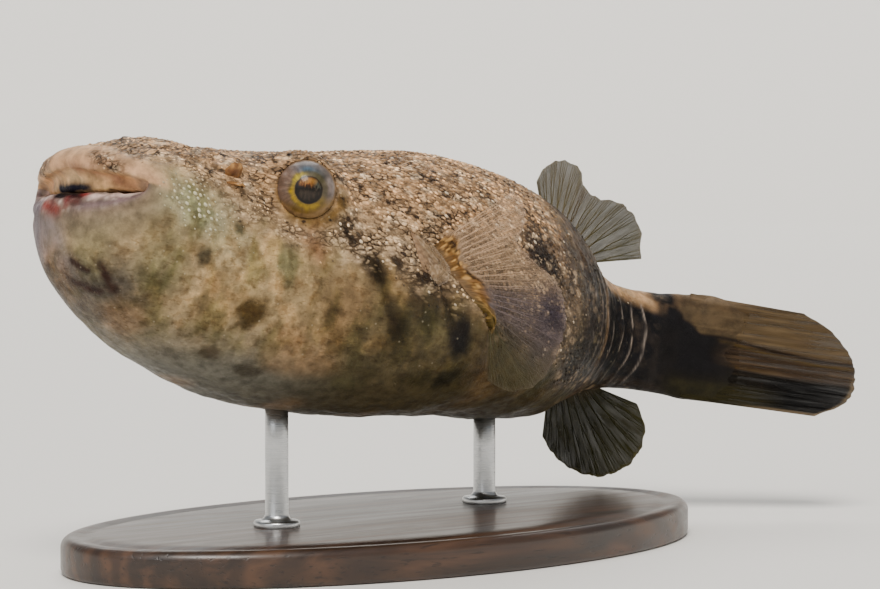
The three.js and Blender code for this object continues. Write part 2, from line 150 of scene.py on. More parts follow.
GILL_FLAP = dict(
    roots=((35.4, 14.8, 4.3), (37.2, 15.2, 0.2)), inside=0.9, root_thick=0.8, ray_count=0, ray_thick=0,
    rays=[(0, -20, 1.4, 0.6), (0.3, -18, 2.2, 1.0), (0.6, -14, 2.5, 1.1), (0.85, -20, 2.2, 0.8),
          (1, -45, 1.3, 0.3)])

NOSTRIL_AT = np.array([13.5, 10.7, 6.5])

# Width and length of a fin laid flat, and its rays: points in a length, and start, end and stoutness of
# the stem, the first fork and the second.
FIN_SPREAD = 12
RAY_POINTS = 9
FORKS = ((0.02, 0.42, 1.0), (0.40, 0.70, 0.8), (0.68, 0.985, 0.66))

# Size of a bead's own patch in the unwrapped skin.
BEAD_PATCH = 0.0015

# Camera: lens for 8.79 pixels per millimetre at 378 mm in a frame 880 pixels wide, and how far its aim
# lies to the right of the stand's middle and below the fish's, in metres.
LENS = 36.0 * 8.79 * 378 / 880
AIM_RIGHT, AIM_DOWN = 0.00586, 0.00072

# Lights: name, where from, softness in degrees, strength, colour.
LIGHTS = [("key", (-0.42, -0.46, 0.80), 24, 3.6, (1.0, 0.955, 0.89)),
          ("front", (-0.90, -0.20, 0.42), 40, 0.55, (0.97, 0.98, 1.0)),
          ("rim", (0.40, 0.55, 0.75), 40, 1.3, (1.0, 0.98, 0.94))]

# ---------------------------------------------------------------- small mathematics


def smooth(start, end, value):
    """0 at start, 1 at end, eased; start may be the larger."""
    share = np.clip((value - start) / (end - start), 0, 1)
    return share * share * (3 - 2 * share)


def linear(red, green, blue):
    """A colour given in eight-bit screen values, as linear light."""
    value = np.array([red, green, blue]) / 255
    return np.where(value < 0.04045, value / 12.92, ((value + 0.055) / 1.055) ** 2.4)


def blend_rows(rows, place):
    """Catmull-Rom blend of a table's rows at fractional row numbers."""
    rows = np.asarray(rows, float)
    ends = np.vstack([2 * rows[0] - rows[1], rows, 2 * rows[-1] - rows[-2]])
    first = np.minimum(np.floor(place).astype(int), len(rows) - 2)
    f = (place - first)[:, None]
    p0, p1, p2, p3 = (ends[first + k] for k in range(4))
    return 0.5 * (2 * p1 + (p2 - p0) * f + (2 * p0 - 5 * p1 + 4 * p2 - p3) * f ** 2
                  + (3 * p1 - p0 - 3 * p2 + p3) * f ** 3)


def knot_curve(knots, x):
    """Smooth curve without overshoot through (x, y) knots."""
    kx, ky = np.array(knots, float).T
    slope = np.diff(ky) / np.diff(kx)
    a, b = slope[:-1], slope[1:]
    inner = np.where(a * b > 0, 2 * a * b / np.where(a + b == 0, 1, a + b), 0)
    tangent = np.concatenate([slope[:1], inner, slope[-1:]])
    i = np.clip(np.searchsorted(kx, x, side="left") - 1, 0, len(kx) - 2)
    width = kx[i + 1] - kx[i]
    f = np.clip((x - kx[i]) / width, 0, 1)
    return (ky[i] * (1 + 2 * f) * (1 - f) ** 2 + width * tangent[i] * f * (1 - f) ** 2
            + ky[i + 1] * f * f * (3 - 2 * f) + width * tangent[i + 1] * f * f * (f - 1))


def wander(points, size, seed=0):
    """Smooth random field from -1 to 1 with features of a given size in millimetres."""
    place = points / size + seed * 17.31
    cell = np.floor(place).astype(np.int64)
    f = place - cell
    f = f * f * (3 - 2 * f)
    total = np.zeros(len(points))
    for corner in np.ndindex(2, 2, 2):
        c = cell + corner
        mixed = (c[:, 0] * 73856093 ^ c[:, 1] * 19349663 ^ c[:, 2] * 83492791) & 0x7FFFFFFF
        mixed = ((mixed ^ (mixed >> 13)) * 1274126177) & 0x7FFFFFFF
        mixed = mixed ^ (mixed >> 16)
        total += ((mixed % 20011) / 10005 - 1) * np.prod(np.where(corner, f, 1 - f), axis=1)
    return total


def near_stroke(points, start, end, width):
    """1 on a straight stroke between two points, fading over its width."""
    start, end = np.array(start, float), np.array(end, float)
    way = end - start
    share = np.clip((points - start) @ way / (way @ way), 0, 1)
    away = np.linalg.norm(points - start - share[:, None] * way, axis=1)
    return np.exp(-(away / width) ** 2)


SPINE_X = np.arange(-10, 141, 1.0)
SPINE_TURN = np.radians(knot_curve(BEND, np.clip(SPINE_X, 0, 120)))
SPINE_AT_X = -10 + np.concatenate([[0], np.cumsum(np.cos(SPINE_TURN))[:-1]])
SPINE_AT_Y = -np.concatenate([[0], np.cumsum(np.sin(SPINE_TURN))[:-1]])


def pose(points):
    """Points of the straight fish, placed in the pose above the stand, in metres."""
    x, y, z = points.T
    turn = np.interp(x, SPINE_X, SPINE_TURN)
    ahead = np.interp(x, SPINE_X, SPINE_AT_X) + y * np.sin(turn) - PIVOT_X
    aside = np.interp(x, SPINE_X, SPINE_AT_Y) + y * np.cos(turn)
    side = aside * math.cos(ROLL) - z * math.sin(ROLL)
    up = aside * math.sin(ROLL) + z * math.cos(ROLL)
    return MM * np.stack([
        ahead * math.cos(PITCH) + up * math.sin(PITCH), side,
        up * math.cos(PITCH) - ahead * math.sin(PITCH) + PIVOT_HEIGHT], axis=1)


# ---------------------------------------------------------------- meshes and pieces


def grid_faces(rows, columns, closed_columns=False, start=0):
    """Four-sided faces of a grid of points, optionally joined round its columns."""
    i, j = np.meshgrid(np.arange(rows - 1), np.arange(columns if closed_columns else columns - 1), indexing="ij")
    k = (j + 1) % columns
    corners = [i * columns + j, i * columns + k, (i + 1) * columns + k, (i + 1) * columns + j]
    return np.stack(corners, axis=-1).reshape(-1, 4) + start


def tube_faces(rows, columns, start=0):
    """Faces of a tube of rings, shut at each end by one point; the two end points follow the rings."""
    first = start + rows * columns
    faces = list(grid_faces(rows, columns, True, start))
    for j in range(columns):
        k = (j + 1) % columns
        faces += [[first, start + k, start + j], [first + 1, first - columns + j, first - columns + k]]
    return faces


def with_ends(values):
    """Values of a tube's rings, with its first and last value repeated for the two end points."""
    return np.concatenate([values, values[:1], values[-1:]])


def ovals(sizes, sides, centre=(0, 0)):
    """Level rings of points, each given by its reach in x, its reach in y and its height."""
    turn = np.linspace(0, 2 * math.pi, sides, endpoint=False)
    return [np.stack([centre[0] + across * np.cos(turn), centre[1] + deep * np.sin(turn), np.full(sides, height)],
                     axis=1) for across, deep, height in sizes]


def unit(vectors):
    """Vectors drawn to a length of one."""
    return vectors / (np.linalg.norm(vectors, axis=1)[:, None] + 1e-12)


def add_object(name, data):
    """A new object in the scene."""
    thing = bpy.data.objects.new(name, data)
    bpy.context.scene.collection.objects.link(thing)
    return thing


def make_object(name, points, faces, attributes=None, outward=True):
    """A mesh object from points in metres, with its faces turned outwards and its attributes stored."""
    faces = [list(map(int, face)) for face in faces]
    if outward:
        corners = points[np.array([face[:3] for face in faces])]
        if np.einsum("ij,ij->i", corners[:, 0], np.cross(corners[:, 1], corners[:, 2])).sum() < 0:
            faces = [face[::-1] for face in faces]
    mesh = bpy.data.meshes.new(name)
    mesh.from_pydata(points.tolist(), [], faces)
    mesh.polygons.foreach_set("use_smooth", [True] * len(mesh.polygons))
    for key, values in (attributes or {}).items():
        store(mesh, key, values)
    mesh.update()
    return add_object(name, mesh)


def store(mesh, name, values):
    """A point attribute: numbers, places, or colours where the name is tint."""
    values = np.asarray(values, float)
    kind, field = ("FLOAT", "value") if values.ndim == 1 else ("FLOAT_VECTOR", "vector")
    if name == "tint":
        kind, field = "FLOAT_COLOR", "color"
        values = np.concatenate([np.clip(values, 0, 1), np.ones((len(values), 1))], axis=1)
    mesh.attributes.new(name, kind, "POINT").data.foreach_set(field, values.ravel())


def drop(mesh, *names):
    """Removes the attributes that only the making needed."""
    for name in names:
        if name in mesh.attributes:
            mesh.attributes.remove(mesh.attributes[name])


def corner_numbers(mesh):
    """Point number of each corner of the faces."""
    numbers = np.zeros(len(mesh.loops), dtype=int)
    mesh.loops.foreach_get("vertex_index", numbers)
    return numbers


def settle(piece, material, slot_name, *nodes):
    """Finishes a piece: its material, the body it rides on and the nodes it stands for; the slot name is not used.
    """
    piece.data.materials.clear()
    piece.data.materials.append(material)
    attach(piece, "root")
    if nodes:
        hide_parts(*nodes)


def run_nodes(name, source, tree, values):
    """A new object holding what a node tree makes of a mesh, with the tree's named inputs set first."""
    worker = add_object(name + "_worker", source)
    modifier = worker.modifiers.new("nodes", "NODES")
    modifier.node_group = tree
    for socket in tree.interface.items_tree:
        if socket.item_type == "SOCKET" and socket.in_out == "INPUT" and socket.name in values:
            modifier[socket.identifier] = values[socket.name]
    bpy.context.view_layer.update()
    mesh = bpy.data.meshes.new_from_object(worker.evaluated_get(bpy.context.evaluated_depsgraph_get()))
    worker.modifiers.clear()
    bpy.data.objects.remove(worker)
    mesh.name = name
    return add_object(name, mesh)


# ---------------------------------------------------------------- materials


class Nodes:
    """A node tree and short ways to add to it."""

    def __init__(self, tree):
        self.tree = tree
        tree.nodes.clear()

    def put(self, socket, value):
        """Links a socket, or sets it; one number fills a vector, and a colour gains its alpha."""
        if isinstance(value, bpy.types.NodeSocket):
            self.tree.links.new(value, socket)
            return
        size = len(socket.default_value) if hasattr(socket.default_value, "__len__") else 0
        if size and not hasattr(value, "__len__"):
            value = [value] * size
        elif size == 4 and len(value) == 3:
            value = [*value, 1]
        socket.default_value = value

    def add(self, kind, properties=None, **inputs):
        node = self.tree.nodes.new(kind)
        for key, value in (properties or {}).items():
            setattr(node, key, value)
        for key, value in inputs.items():
            self.put(node.inputs[key.replace("_", " ")], value)
        return node

    def math(self, operation, *values):
        node = self.add("ShaderNodeMath", {"operation": operation})
        for socket, value in zip(node.inputs, values):
            self.put(socket, value)
        return node.outputs[0]

    def product(self, first, *others):
        for other in others:
            first = self.math("MULTIPLY", first, other)
        return first


class PieceTree(Nodes):
    """A geometry node tree with named inputs, which ends as real, smooth geometry of one material."""

    def __init__(self, name, **inputs):
        tree = bpy.data.node_groups.new(name, "GeometryNodeTree")
        super().__init__(tree)
        for key, kind in {"Geometry": "Geometry", **inputs, "Material": "Material"}.items():
            tree.interface.new_socket(key, in_out="INPUT", socket_type="NodeSocket" + kind)
        tree.interface.new_socket("Geometry", in_out="OUTPUT", socket_type="NodeSocketGeometry")
        self.given = self.add("NodeGroupInput").outputs

    def named(self, name, data_type="FLOAT"):
        return self.add("GeometryNodeInputNamedAttribute", {"data_type": data_type}, Name=name).outputs[0]

    def keep(self, geometry, name, value, data_type, domain):
        return self.add("GeometryNodeStoreNamedAttribute", {"data_type": data_type, "domain": domain},
                        Geometry=geometry, Name=name, Value=value).outputs[0]

    def random(self, low, high, seed):
        node = self.add("FunctionNodeRandomValue", {"data_type": "FLOAT"}, Seed=seed)
        node.inputs[2].default_value, node.inputs[3].default_value = low, high
        return node.outputs[1]

    def finish(self, geometry):
        real = self.add("GeometryNodeRealizeInstances", Geometry=geometry)
        soft = self.add("GeometryNodeSetShadeSmooth")
        self.put(soft.inputs[0], real.outputs[0])
        coloured = self.add("GeometryNodeSetMaterial", Geometry=soft.outputs[0], Material=self.given["Material"])
        self.add("NodeGroupOutput", Geometry=coloured.outputs[0])
        return self.tree


class Shader(Nodes):
    """A procedural material."""

    def __init__(self, name, **settings):
        self.material = bpy.data.materials.new(name)
        self.material.use_nodes = True
        super().__init__(self.material.node_tree)
        self.surface = self.add("ShaderNodeBsdfPrincipled", **settings)
        self.add("ShaderNodeOutputMaterial", Surface=self.surface.outputs[0])

    def attribute(self, name, output="Fac"):
        return self.add("ShaderNodeAttribute", {"attribute_name": name}).outputs[output]

    def object_place(self):
        return self.add("ShaderNodeTexCoord").outputs["Object"]

    def stretched(self, vector, scale, turn=(0, 0, 0)):
        return self.add("ShaderNodeMapping", Vector=vector, Scale=scale, Rotation=turn).outputs[0]

    def noise(self, vector, scale, detail=3.0, roughness=0.5, distortion=0.0):
        return self.add("ShaderNodeTexNoise", Vector=vector, Scale=scale, Detail=detail, Roughness=roughness,
                        Distortion=distortion).outputs[0]

    def cells(self, vector, scale, feature="F1"):
        node = self.add("ShaderNodeTexVoronoi", {"feature": feature}, Vector=vector, Scale=scale)
        return node.outputs["Distance"]

    def chosen_cells(self, vector, scale, channel):
        """Distance to the nearest cell's centre, and a random number for each cell."""
        spread = self.add("ShaderNodeTexVoronoi", Vector=vector, Scale=scale).outputs
        return spread["Distance"], self.add("ShaderNodeSeparateColor", Color=spread["Color"]).outputs[channel]

    def ease(self, value, low, high, to_low=0.0, to_high=1.0):
        node = self.add("ShaderNodeMapRange", {"interpolation_type": "SMOOTHSTEP"}, Value=value)
        for socket, number in zip(node.inputs[1:5], (low, high, to_low, to_high)):
            self.put(socket, number)
        return node.outputs[0]

    def over(self, colour, new, *shares, blend="MIX"):
        """A colour with another over it, by the product of some shares."""
        node = self.add("ShaderNodeMix", {"data_type": "RGBA", "blend_type": blend})
        for socket, value in zip((node.inputs[0], *node.inputs[6:8]), (self.product(*shares), colour, new)):
            self.put(socket, value)
        return node.outputs[2]

    def shade(self, colour, brightness):
        """A colour made darker or brighter."""
        return self.over(colour, brightness, 1.0, blend="MULTIPLY")

    def bump(self, height, strength, distance):
        return self.add("ShaderNodeBump", Height=height, Strength=strength, Distance=distance).outputs[0]

    def done(self, **sockets):
        for key, value in sockets.items():
            self.put(self.surface.inputs[key.replace("_", " ")], value)
        return self.material


def slanted(shader, rest):
    """The straight fish's places, drawn out along the lie of the back's grains."""
    return shader.stretched(rest, (0.72, 1.0, 1.3), (0, math.radians(-38), 0))


# Cells that hold a fleck: stretched along the back or not, scale, least number of a chosen cell, size, ink.
FLECKS = ((False, 0.70, 0.42, 0.24, (38, 25, 16)), (True, 0.80, 0.36, 0.20, (30, 20, 12)),
          (True, 1.25, 0.42, 0.26, (44, 30, 20)))


def add_flecks(shader, colour, rest, slant, fleck):
    """Small dark flecks with frayed edges in some cells of the back and cheeks."""
    for along, scale, least, widest, ink in FLECKS:
        distance, number = shader.chosen_cells(slant if along else rest, scale, 0)
        size = shader.ease(number, least, 1.0, 0.05, widest)
        fraying = shader.ease(shader.noise(rest, 3.2, 2.0), 0.0, 1.0, -0.08, 0.08)
        edge = shader.math("SUBTRACT", shader.math("ADD", distance, fraying), size)
        inside = shader.ease(edge, -0.12, 0.09, 0.95, 0.0)
        chosen = shader.ease(number, least, least + 0.12)
        colour = shader.over(colour, linear(*ink), inside, chosen, fleck)
    return colour


def leather(shader, colour, slant, grain):
    """Pale raised patches between fine creases darkened with painted shade, drawn out along the lie of the back.
    """
    shift = shader.add("ShaderNodeTexNoise", Vector=slant, Scale=0.9, Detail=3.0)
    bent = shader.add("ShaderNodeVectorMath", {"operation": "ADD"})
    shader.put(bent.inputs[0], slant)
    shader.put(bent.inputs[1], shift.outputs["Color"])
    bent = bent.outputs[0]
    for scale, widest, strength in ((0.62, 0.52, 0.85), (1.7, 0.44, 0.75)):
        distance, number = shader.chosen_cells(bent, scale, 1)
        patch = shader.ease(distance, widest * 0.4, widest, 1.0, 0.0)
        chosen = shader.ease(number, 0.15, 0.8, 0.0, strength)
        colour = shader.over(colour, linear(246, 214, 174), patch, chosen, grain)
    # painted shade in the fine creases
    crease = shader.product(shader.ease(shader.cells(bent, 1.35, "DISTANCE_TO_EDGE"), 0.01, 0.17, 1.0, 0.0),
                            shader.ease(shader.noise(slant, 0.5, 3.0, 0.6), 0.38, 0.6, 0.2, 1.0))
    return shader.over(colour, linear(44, 29, 19), crease, grain), crease


# Veils over the smooth belly: stretch and scale of their noise, where they start and are full, strength, and
# what they multiply the colour by: upright greenish streaks, brown mottling, and pale clouds and points.
VEILS = (((1.0, 0.6, 0.4), 0.30, 0.46, 0.64, 0.75, (0.56, 0.61, 0.42)),
         ((1, 1, 1), 0.24, 0.50, 0.66, 0.65, (0.56, 0.47, 0.36)),
         ((1, 1, 1), 0.85, 0.5, 0.66, 0.6, (0.52, 0.44, 0.34)),
         ((0.6, 0.8, 1.6), 2.2, 0.52, 0.68, 0.6, (0.50, 0.44, 0.36)),
         ((1, 1, 1), 0.3, 0.52, 0.66, 0.8, (1.5, 1.4, 1.28)),
         ((1, 1, 1), 1.4, 0.56, 0.7, 0.4, (1.5, 1.45, 1.4)))


def skin_material():
    shader = Shader("fish_skin", Specular_IOR_Level=0.13)
    tint, rest = shader.attribute("tint", "Color"), shader.attribute("rest", "Vector")
    grain, bare = shader.attribute("grain"), shader.attribute("bare")
    slant = slanted(shader, rest)
    colour = shader.shade(tint, shader.ease(shader.noise(rest, 0.7, 6.0, 0.6), 0.28, 0.72, 0.62, 1.3))
    colour, crease = leather(shader, colour, slant, grain)
    # painted shade in the hollows between the grains of the back, gathered in clouds
    for scale, roughness, low, high, strength, ink in ((1.1, 0.6, 0.42, 0.58, 0.65, (38, 27, 19)),
                                                       (0.33, 0.65, 0.47, 0.66, 0.6, (58, 42, 29))):
        hollow = shader.ease(shader.noise(slant, scale, 4.0, roughness), low, high)
        colour = shader.over(colour, linear(*ink), hollow, grain, strength)
    colour = add_flecks(shader, colour, rest, slant, shader.attribute("fleck"))
    for stretch, scale, low, high, strength, times in VEILS:
        veil = shader.ease(shader.noise(shader.stretched(rest, stretch), scale, 4.0, 0.56), low, high)
        colour = shader.over(colour, times, veil, bare, strength, blend="MULTIPLY")
    pale = shader.ease(shader.cells(rest, 0.75), 0.03, 0.12, 1.0, 0.0)
    colour = shader.over(colour, linear(214, 202, 172), pale, bare, 0.22)
    height = shader.math("SUBTRACT", shader.noise(rest, 3.8, 5.0, 0.66), shader.product(crease, grain, 1.2))
    roughness = shader.ease(shader.noise(rest, 1.3, 3.0), 0.3, 0.7, 0.36, 0.56)
    return shader.done(Base_Color=colour, Roughness=roughness, Normal=shader.bump(height, 0.75, 0.00016))


def bead_material():
    shader = Shader("fish_beads", Specular_IOR_Level=0.25)
    rest, tone = shader.attribute("rest", "Vector"), shader.attribute("tone")
    slant = slanted(shader, rest)
    grain = shader.product(shader.attribute("grain"), 0.9)
    colour, _ = leather(shader, shader.attribute("tint", "Color"), slant, grain)
    colour = shader.shade(colour, shader.ease(tone, 0.0, 1.0, 0.5, 1.6))
    colour = shader.shade(colour, shader.ease(shader.noise(slant, 0.55, 4.0, 0.65), 0.36, 0.62, 1.3, 0.45))
    # painted highlights: a few beads turned almost white, as glints on their tops
    colour = shader.over(colour, linear(240, 222, 194), shader.ease(tone, 0.93, 0.99, 0.0, 0.6))
    colour = shader.over(colour, linear(206, 200, 168), shader.attribute("cheek"), 0.8)
    colour = add_flecks(shader, colour, rest, slant, shader.attribute("fleck"))
    return shader.done(Base_Color=colour, Roughness=shader.ease(tone, 0, 1, 0.55, 0.4),
                       Normal=shader.bump(shader.noise(rest, 9.0, 2.0), 0.35, 0.00005))


def fin_material():
    shader = Shader("fin_membrane", Roughness=0.45, Specular_IOR_Level=0.08)
    sheet = shader.attribute("sheet", "Vector")
    fibres = shader.noise(shader.stretched(sheet, (3.2, 0.22, 1.0)), 1.0, 4.0, 0.6)
    colour = shader.shade(shader.attribute("tint", "Color"), shader.ease(fibres, 0.3, 0.7, 0.72, 1.22))
    colour = shader.over(colour, linear(58, 44, 34), shader.ease(shader.cells(sheet, 2.4), 0.1, 0.2, 1.0, 0.0),
                         shader.ease(shader.noise(sheet, 0.5), 0.45, 0.65, 0.0, 0.5))
    alpha = shader.product(shader.attribute("cover"), shader.ease(fibres, 0.3, 0.75, 0.86, 1.1))
    return shader.done(Base_Color=colour, Alpha=alpha, Normal=shader.bump(fibres, 0.5, 0.00008))


def flesh_material(name, roughness):
    shader = Shader(name, Roughness=roughness, Specular_IOR_Level=0.3)
    rest = shader.attribute("rest", "Vector")
    mottle = shader.ease(shader.noise(rest, 1.6, 5.0, 0.62), 0.28, 0.72, 0.66, 1.25)
    return shader.done(Base_Color=shader.shade(shader.attribute("tint", "Color"), mottle),
                       Alpha=shader.attribute("cover"),
                       Normal=shader.bump(shader.noise(rest, 3.4, 4.0, 0.6), 0.5, 0.00012))


def eye_material():
    shader = Shader("fish_eye", Roughness=0.4, Specular_IOR_Level=0.2, Coat_Weight=0.3, Coat_Roughness=0.05,
                    Coat_IOR=1.34)
    streaks = shader.stretched(shader.attribute("iris", "Vector"), (0.5, 9.0, 1.0))
    fibres = shader.ease(shader.noise(streaks, 1.0, 4.0, 0.65), 0.3, 0.7, 0.7, 1.25)
    cloud = shader.ease(shader.noise(shader.attribute("rest", "Vector"), 1.5, 5.0, 0.62), 0.25, 0.75, 0.78, 1.18)
    return shader.done(Base_Color=shader.shade(shader.attribute("tint", "Color"), shader.product(fibres, cloud)))


def wood_material(dark, light):
    shader = Shader("dark_wood", Coat_Weight=0.25, Coat_Roughness=0.22)
    place = shader.object_place()
    rings = shader.add("ShaderNodeTexWave", {"bands_direction": "Y"}, Scale=9.0, Distortion=7.0, Detail=3.0,
                       Detail_Scale=1.2, Vector=shader.stretched(place, (1.0, 14.0, 14.0))).outputs["Fac"]
    grain = shader.noise(shader.stretched(place, (22.0, 210.0, 210.0)), 1.6, 6.0, 0.62, 0.6)
    pores = shader.ease(shader.noise(shader.stretched(place, (160.0, 2600.0, 2600.0)), 1.0, 2.0), 0.6, 0.7)
    colour = shader.over(dark, light, shader.ease(grain, 0.3, 0.7), shader.ease(rings, 0, 1, 0.35, 1.0))
    colour = shader.over(colour, linear(18, 11, 8), pores, 0.55)
    return shader.done(Base_Color=colour, Roughness=shader.ease(grain, 0.3, 0.7, 0.34, 0.5),
                       Normal=shader.bump(shader.math("SUBTRACT", grain, pores), 0.3, 0.0001))


def steel_material():
    shader = Shader("satin_steel", Metallic=1.0, Anisotropic=0.4)
    brushed = shader.noise(shader.stretched(shader.object_place(), (250.0, 250.0, 9000.0)), 1.0, 3.0, 0.6)
    colour = shader.over(linear(184, 186, 188), linear(200, 201, 202), shader.ease(brushed, 0.3, 0.7))
    return shader.done(Base_Color=colour, Roughness=shader.ease(brushed, 0.3, 0.7, 0.26, 0.33),
                       Normal=shader.bump(brushed, 0.06, 0.00001))


# ---------------------------------------------------------------- body skin


def skin_base(station, angle, grow):
    """Points of the plain body at fractional stations and angles in degrees, 0 on the back, 90 left."""
    back_x, back_z, side_x, side_y, side_z, belly_x, belly_z, above, below = blend_rows(STATIONS, station).T
    sine, cosine = np.sin(np.radians(angle)), np.cos(np.radians(angle))
    top = cosine >= 0
    mid_x, fullness = np.where(top, back_x, belly_x), np.where(top, above, below)
    mid_z = np.where(top, back_z + grow, belly_z - grow)
    x = mid_x + (side_x - mid_x) * sine ** 2
    y = -np.sign(sine) * (side_y + grow) * np.abs(sine) ** (2 / fullness)
    z = side_z + (mid_z - side_z) * np.abs(cosine) ** (2 / fullness)
    push = np.zeros(len(x))
    for at, reach, lift in SWELLINGS:
        push += lift * np.exp(-((x - at[0]) / reach[0]) ** 2 - ((np.abs(y) - at[1]) / reach[1]) ** 2
                              - ((z - at[2]) / reach[2]) ** 2)
    out = np.hypot(y, z - side_z) + 1e-9
    return np.stack([x, y * (1 + push / out), z + (z - side_z) * push / out], axis=1)


def skin_grid(grow):
    """Stations, angles, points and outward normals of the skin, all flat, row by row."""
    numbers, stations = zip(*ROW_PLACES)
    station = np.interp(np.arange(SKIN_ROWS), numbers, stations)
    # more columns over the upper sides, where the eyes are
    span = np.linspace(-180, 180, 7201)
    weight = np.cumsum(1 + 1.3 * smooth(32, 42, np.abs(span)) * smooth(94, 84, np.abs(span)))
    weight = (weight - weight[0]) / (weight[-1] - weight[0])
    angle = np.interp(np.arange(SKIN_SIDES) / SKIN_SIDES, weight, span)
    station, angle = (a.ravel() for a in np.meshgrid(station, angle, indexing="ij"))
    points = skin_base(station, angle, grow)
    grid = points.reshape(SKIN_ROWS, SKIN_SIDES, 3)
    around = np.roll(grid, -1, axis=1) - np.roll(grid, 1, axis=1)
    return station, angle, points, unit(np.cross(around, np.gradient(grid, axis=0)).reshape(-1, 3))


def on_left(points):
    """The same places, all on the left side."""
    return np.stack([points[:, 0], -np.abs(points[:, 1]), points[:, 2]], axis=1)


# The soft crease above the inner roll of the upper lip, from the middle to the corner of the mouth; painted shade
# is laid along it.
LIP_CREASE = [(-0.2, 0.0, 5.4), (0.2, -1.9, 5.25), (0.8, -4.0, 5.05), (2.0, -5.9, 4.65), (3.0, -7.6, 4.0)]

# Folds of skin where the body bends sharply to the left, by place at mid-height.
FOLDS = (77.2, 80.4, 84.0, 87.4, 89.9, 92.2, 70.6, 73.9)


def fold_lines(points, width):
    """1 on the crests of the rear folds, left side only; above and below its middle a fold runs forward."""
    x, y, z = points.T
    forward = 2.6 * ((z - 0.8) / 6.5) ** 2
    total = np.zeros(len(points))
    for number, at in enumerate(FOLDS):
        wobble = 0.35 * wander(points, 2.2, 40 + number)
        crest = at - forward * (1 if number > 1 else 1.5) + wobble
        top, bottom = 5.6 + 0.2 * (92 - at), -6.5 - 0.1 * (92 - at)
        strength = smooth(top, top - 1.8, z) * smooth(bottom, -3.5, z)
        total = np.maximum(total, strength * np.exp(-((x - crest) / width) ** 2))
    return total * smooth(0.2, -1.5, y)


# Creases and small ridges of both sides: lift, start, end, width.
RIDGES = [
    # under the lower lip, and the soft fold behind the mouth corner
    (-0.3, (4.6, -11.0, 2.6), (0.4, -6.5, 0.4), 0.55), (-0.25, (6.6, -11.4, 6.2), (6.9, -11.6, 0.8), 0.6),
    (0.3, (8.0, -11.5, 5.6), (8.2, -11.8, 0.8), 0.9),
    # the edge of the gill cover, and the gill opening under its flap
    (-0.45, (31.6, -14.4, 0.2), (34.2, -14.4, -6.5), 0.55), (0.25, (33.0, -14.6, 0.2), (35.6, -14.4, -6.0), 0.9),
    (-0.7, (36.6, -15.0, 4.4), (41.0, -15.4, -3.0), 0.75),
    *((-0.16, start, end, 0.6) for start, end in zip(LIP_CREASE, LIP_CREASE[1:]))]


def relief(station, angle, points):
    """Height of the skin's lumps, creases and folds over the plain body, in millimetres."""
    x, y, z = points.T
    lips = smooth(1.3, 2.3, station) * smooth(6.4, 5.2, station)
    lower = smooth(84, 100, np.abs(angle))
    upper_lip, lower_lip = lips * (1 - lower), lips * lower
    rise = 0.06 * wander(points, 1.1, 1) * smooth(5.0, 7.0, station)
    rise += upper_lip * (0.09 * wander(points * (0.5, 1, 0.5), 0.8, 2) + 0.12 * wander(points, 2.4, 3))
    rise += lower_lip * 0.11 * wander(points, 0.55, 4) * smooth(4.2, 3.0, station)
    rise += lower_lip * 0.08 * wander(points, 1.8, 5)
    rise -= 0.35 * upper_lip * np.exp(-(y / 0.7) ** 2) * smooth(5.2, 3.6, station)
    for lift, start, end, width in RIDGES:
        rise += lift * near_stroke(on_left(points), start, end, width)
    # the groove behind the upper lip, and rough knobs on top of the snout
    rise -= 0.45 * np.exp(-((x - 3.0) / 0.9) ** 2) * smooth(6.6, 8.0, z) * smooth(10, 7, np.abs(y))
    rise += 0.3 * wander(points, 1.0, 6) * smooth(6.0, 8.2, z) * smooth(1.5, 5, x) * smooth(21, 14, x)
    # slack cheek and throat, and loose wrinkles low on the belly, running lengthwise
    rise += 0.2 * wander(points * (1.3, 1, 0.5), 5.0, 7) * smooth(4, -3, z) * smooth(8, 14, x) * smooth(80, 70, x)
    low = smooth(-7, -11, z) * smooth(10, 20, x) * smooth(82, 72, x)
    rise += 0.12 * low * wander(points * (0.28, 1, 1.5), 1.4, 8)
    # the folds at the tail, in the hollow of the bend
    hollow = smooth(75, 80, x) * smooth(94, 91, x) * smooth(5.5, 3.0, z) * smooth(-6.5, -3.5, z)
    hollow *= smooth(0.2, -1.5, y)
    rise += 0.2 * fold_lines(points, 0.34) - 0.28 * hollow
    return rise + 0.1 * wander(points * (1, 1, 0.45), 1.6, 9) * smooth(60, 72, x)


def fit_orbits(points):
    """Draws the skin round each eyeball: hidden behind it, tight at the rim and easing into the head."""
    points = points.copy()
    for side in (-1, 1):
        flip = np.array([1, side, 1])
        axis = ORBIT_AXIS * flip / np.linalg.norm(ORBIT_AXIS)
        away = points - EYE_AT * flip
        height = away @ axis
        flat = away - height[:, None] * axis
        radius = np.linalg.norm(flat, axis=1)
        rim = math.sqrt(EYE_RADIUS ** 2 - ORBIT_RIM ** 2)
        wanted = np.where(
            radius < ORBIT_RIM, rim + 0.02 - 1.9 * (ORBIT_RIM - radius),
            rim + 0.1 + 0.1 * np.exp(-((radius - ORBIT_RIM - 0.35) / 0.34) ** 2)
            - 0.12 * np.exp(-((radius - ORBIT_RIM - 1.25) / 0.4) ** 2)
            - (0.16 + 0.45 * smooth(0.5, 3.0, flat[:, 2])) * (radius - ORBIT_RIM))
        wanted = np.maximum(wanted, -0.6)
        share = smooth(ORBIT_RIM + 3.4, ORBIT_RIM + 0.5, radius) * smooth(-3.2, -1.4, height)
        points += (share * (wanted - height))[:, None] * axis
    return points


def start_paint(ink, count):
    """Even colours for a number of points, and the function that lays further colours over them.

    A layer's share is its strength times the eased value of each span (start, end, value). An ink
    is a screen colour as a tuple, or linear light as an array.
    """
    def light(ink):
        return linear(*ink) if isinstance(ink, tuple) else ink

    def lay(strength, ink, *spans):
        share = np.clip(strength * math.prod(smooth(*span) for span in spans), 0, 1) * np.ones(count)
        colour[:] += share[:, None] * (light(ink) - colour)

    colour = light(ink) + np.zeros((count, 3))
    return colour, lay


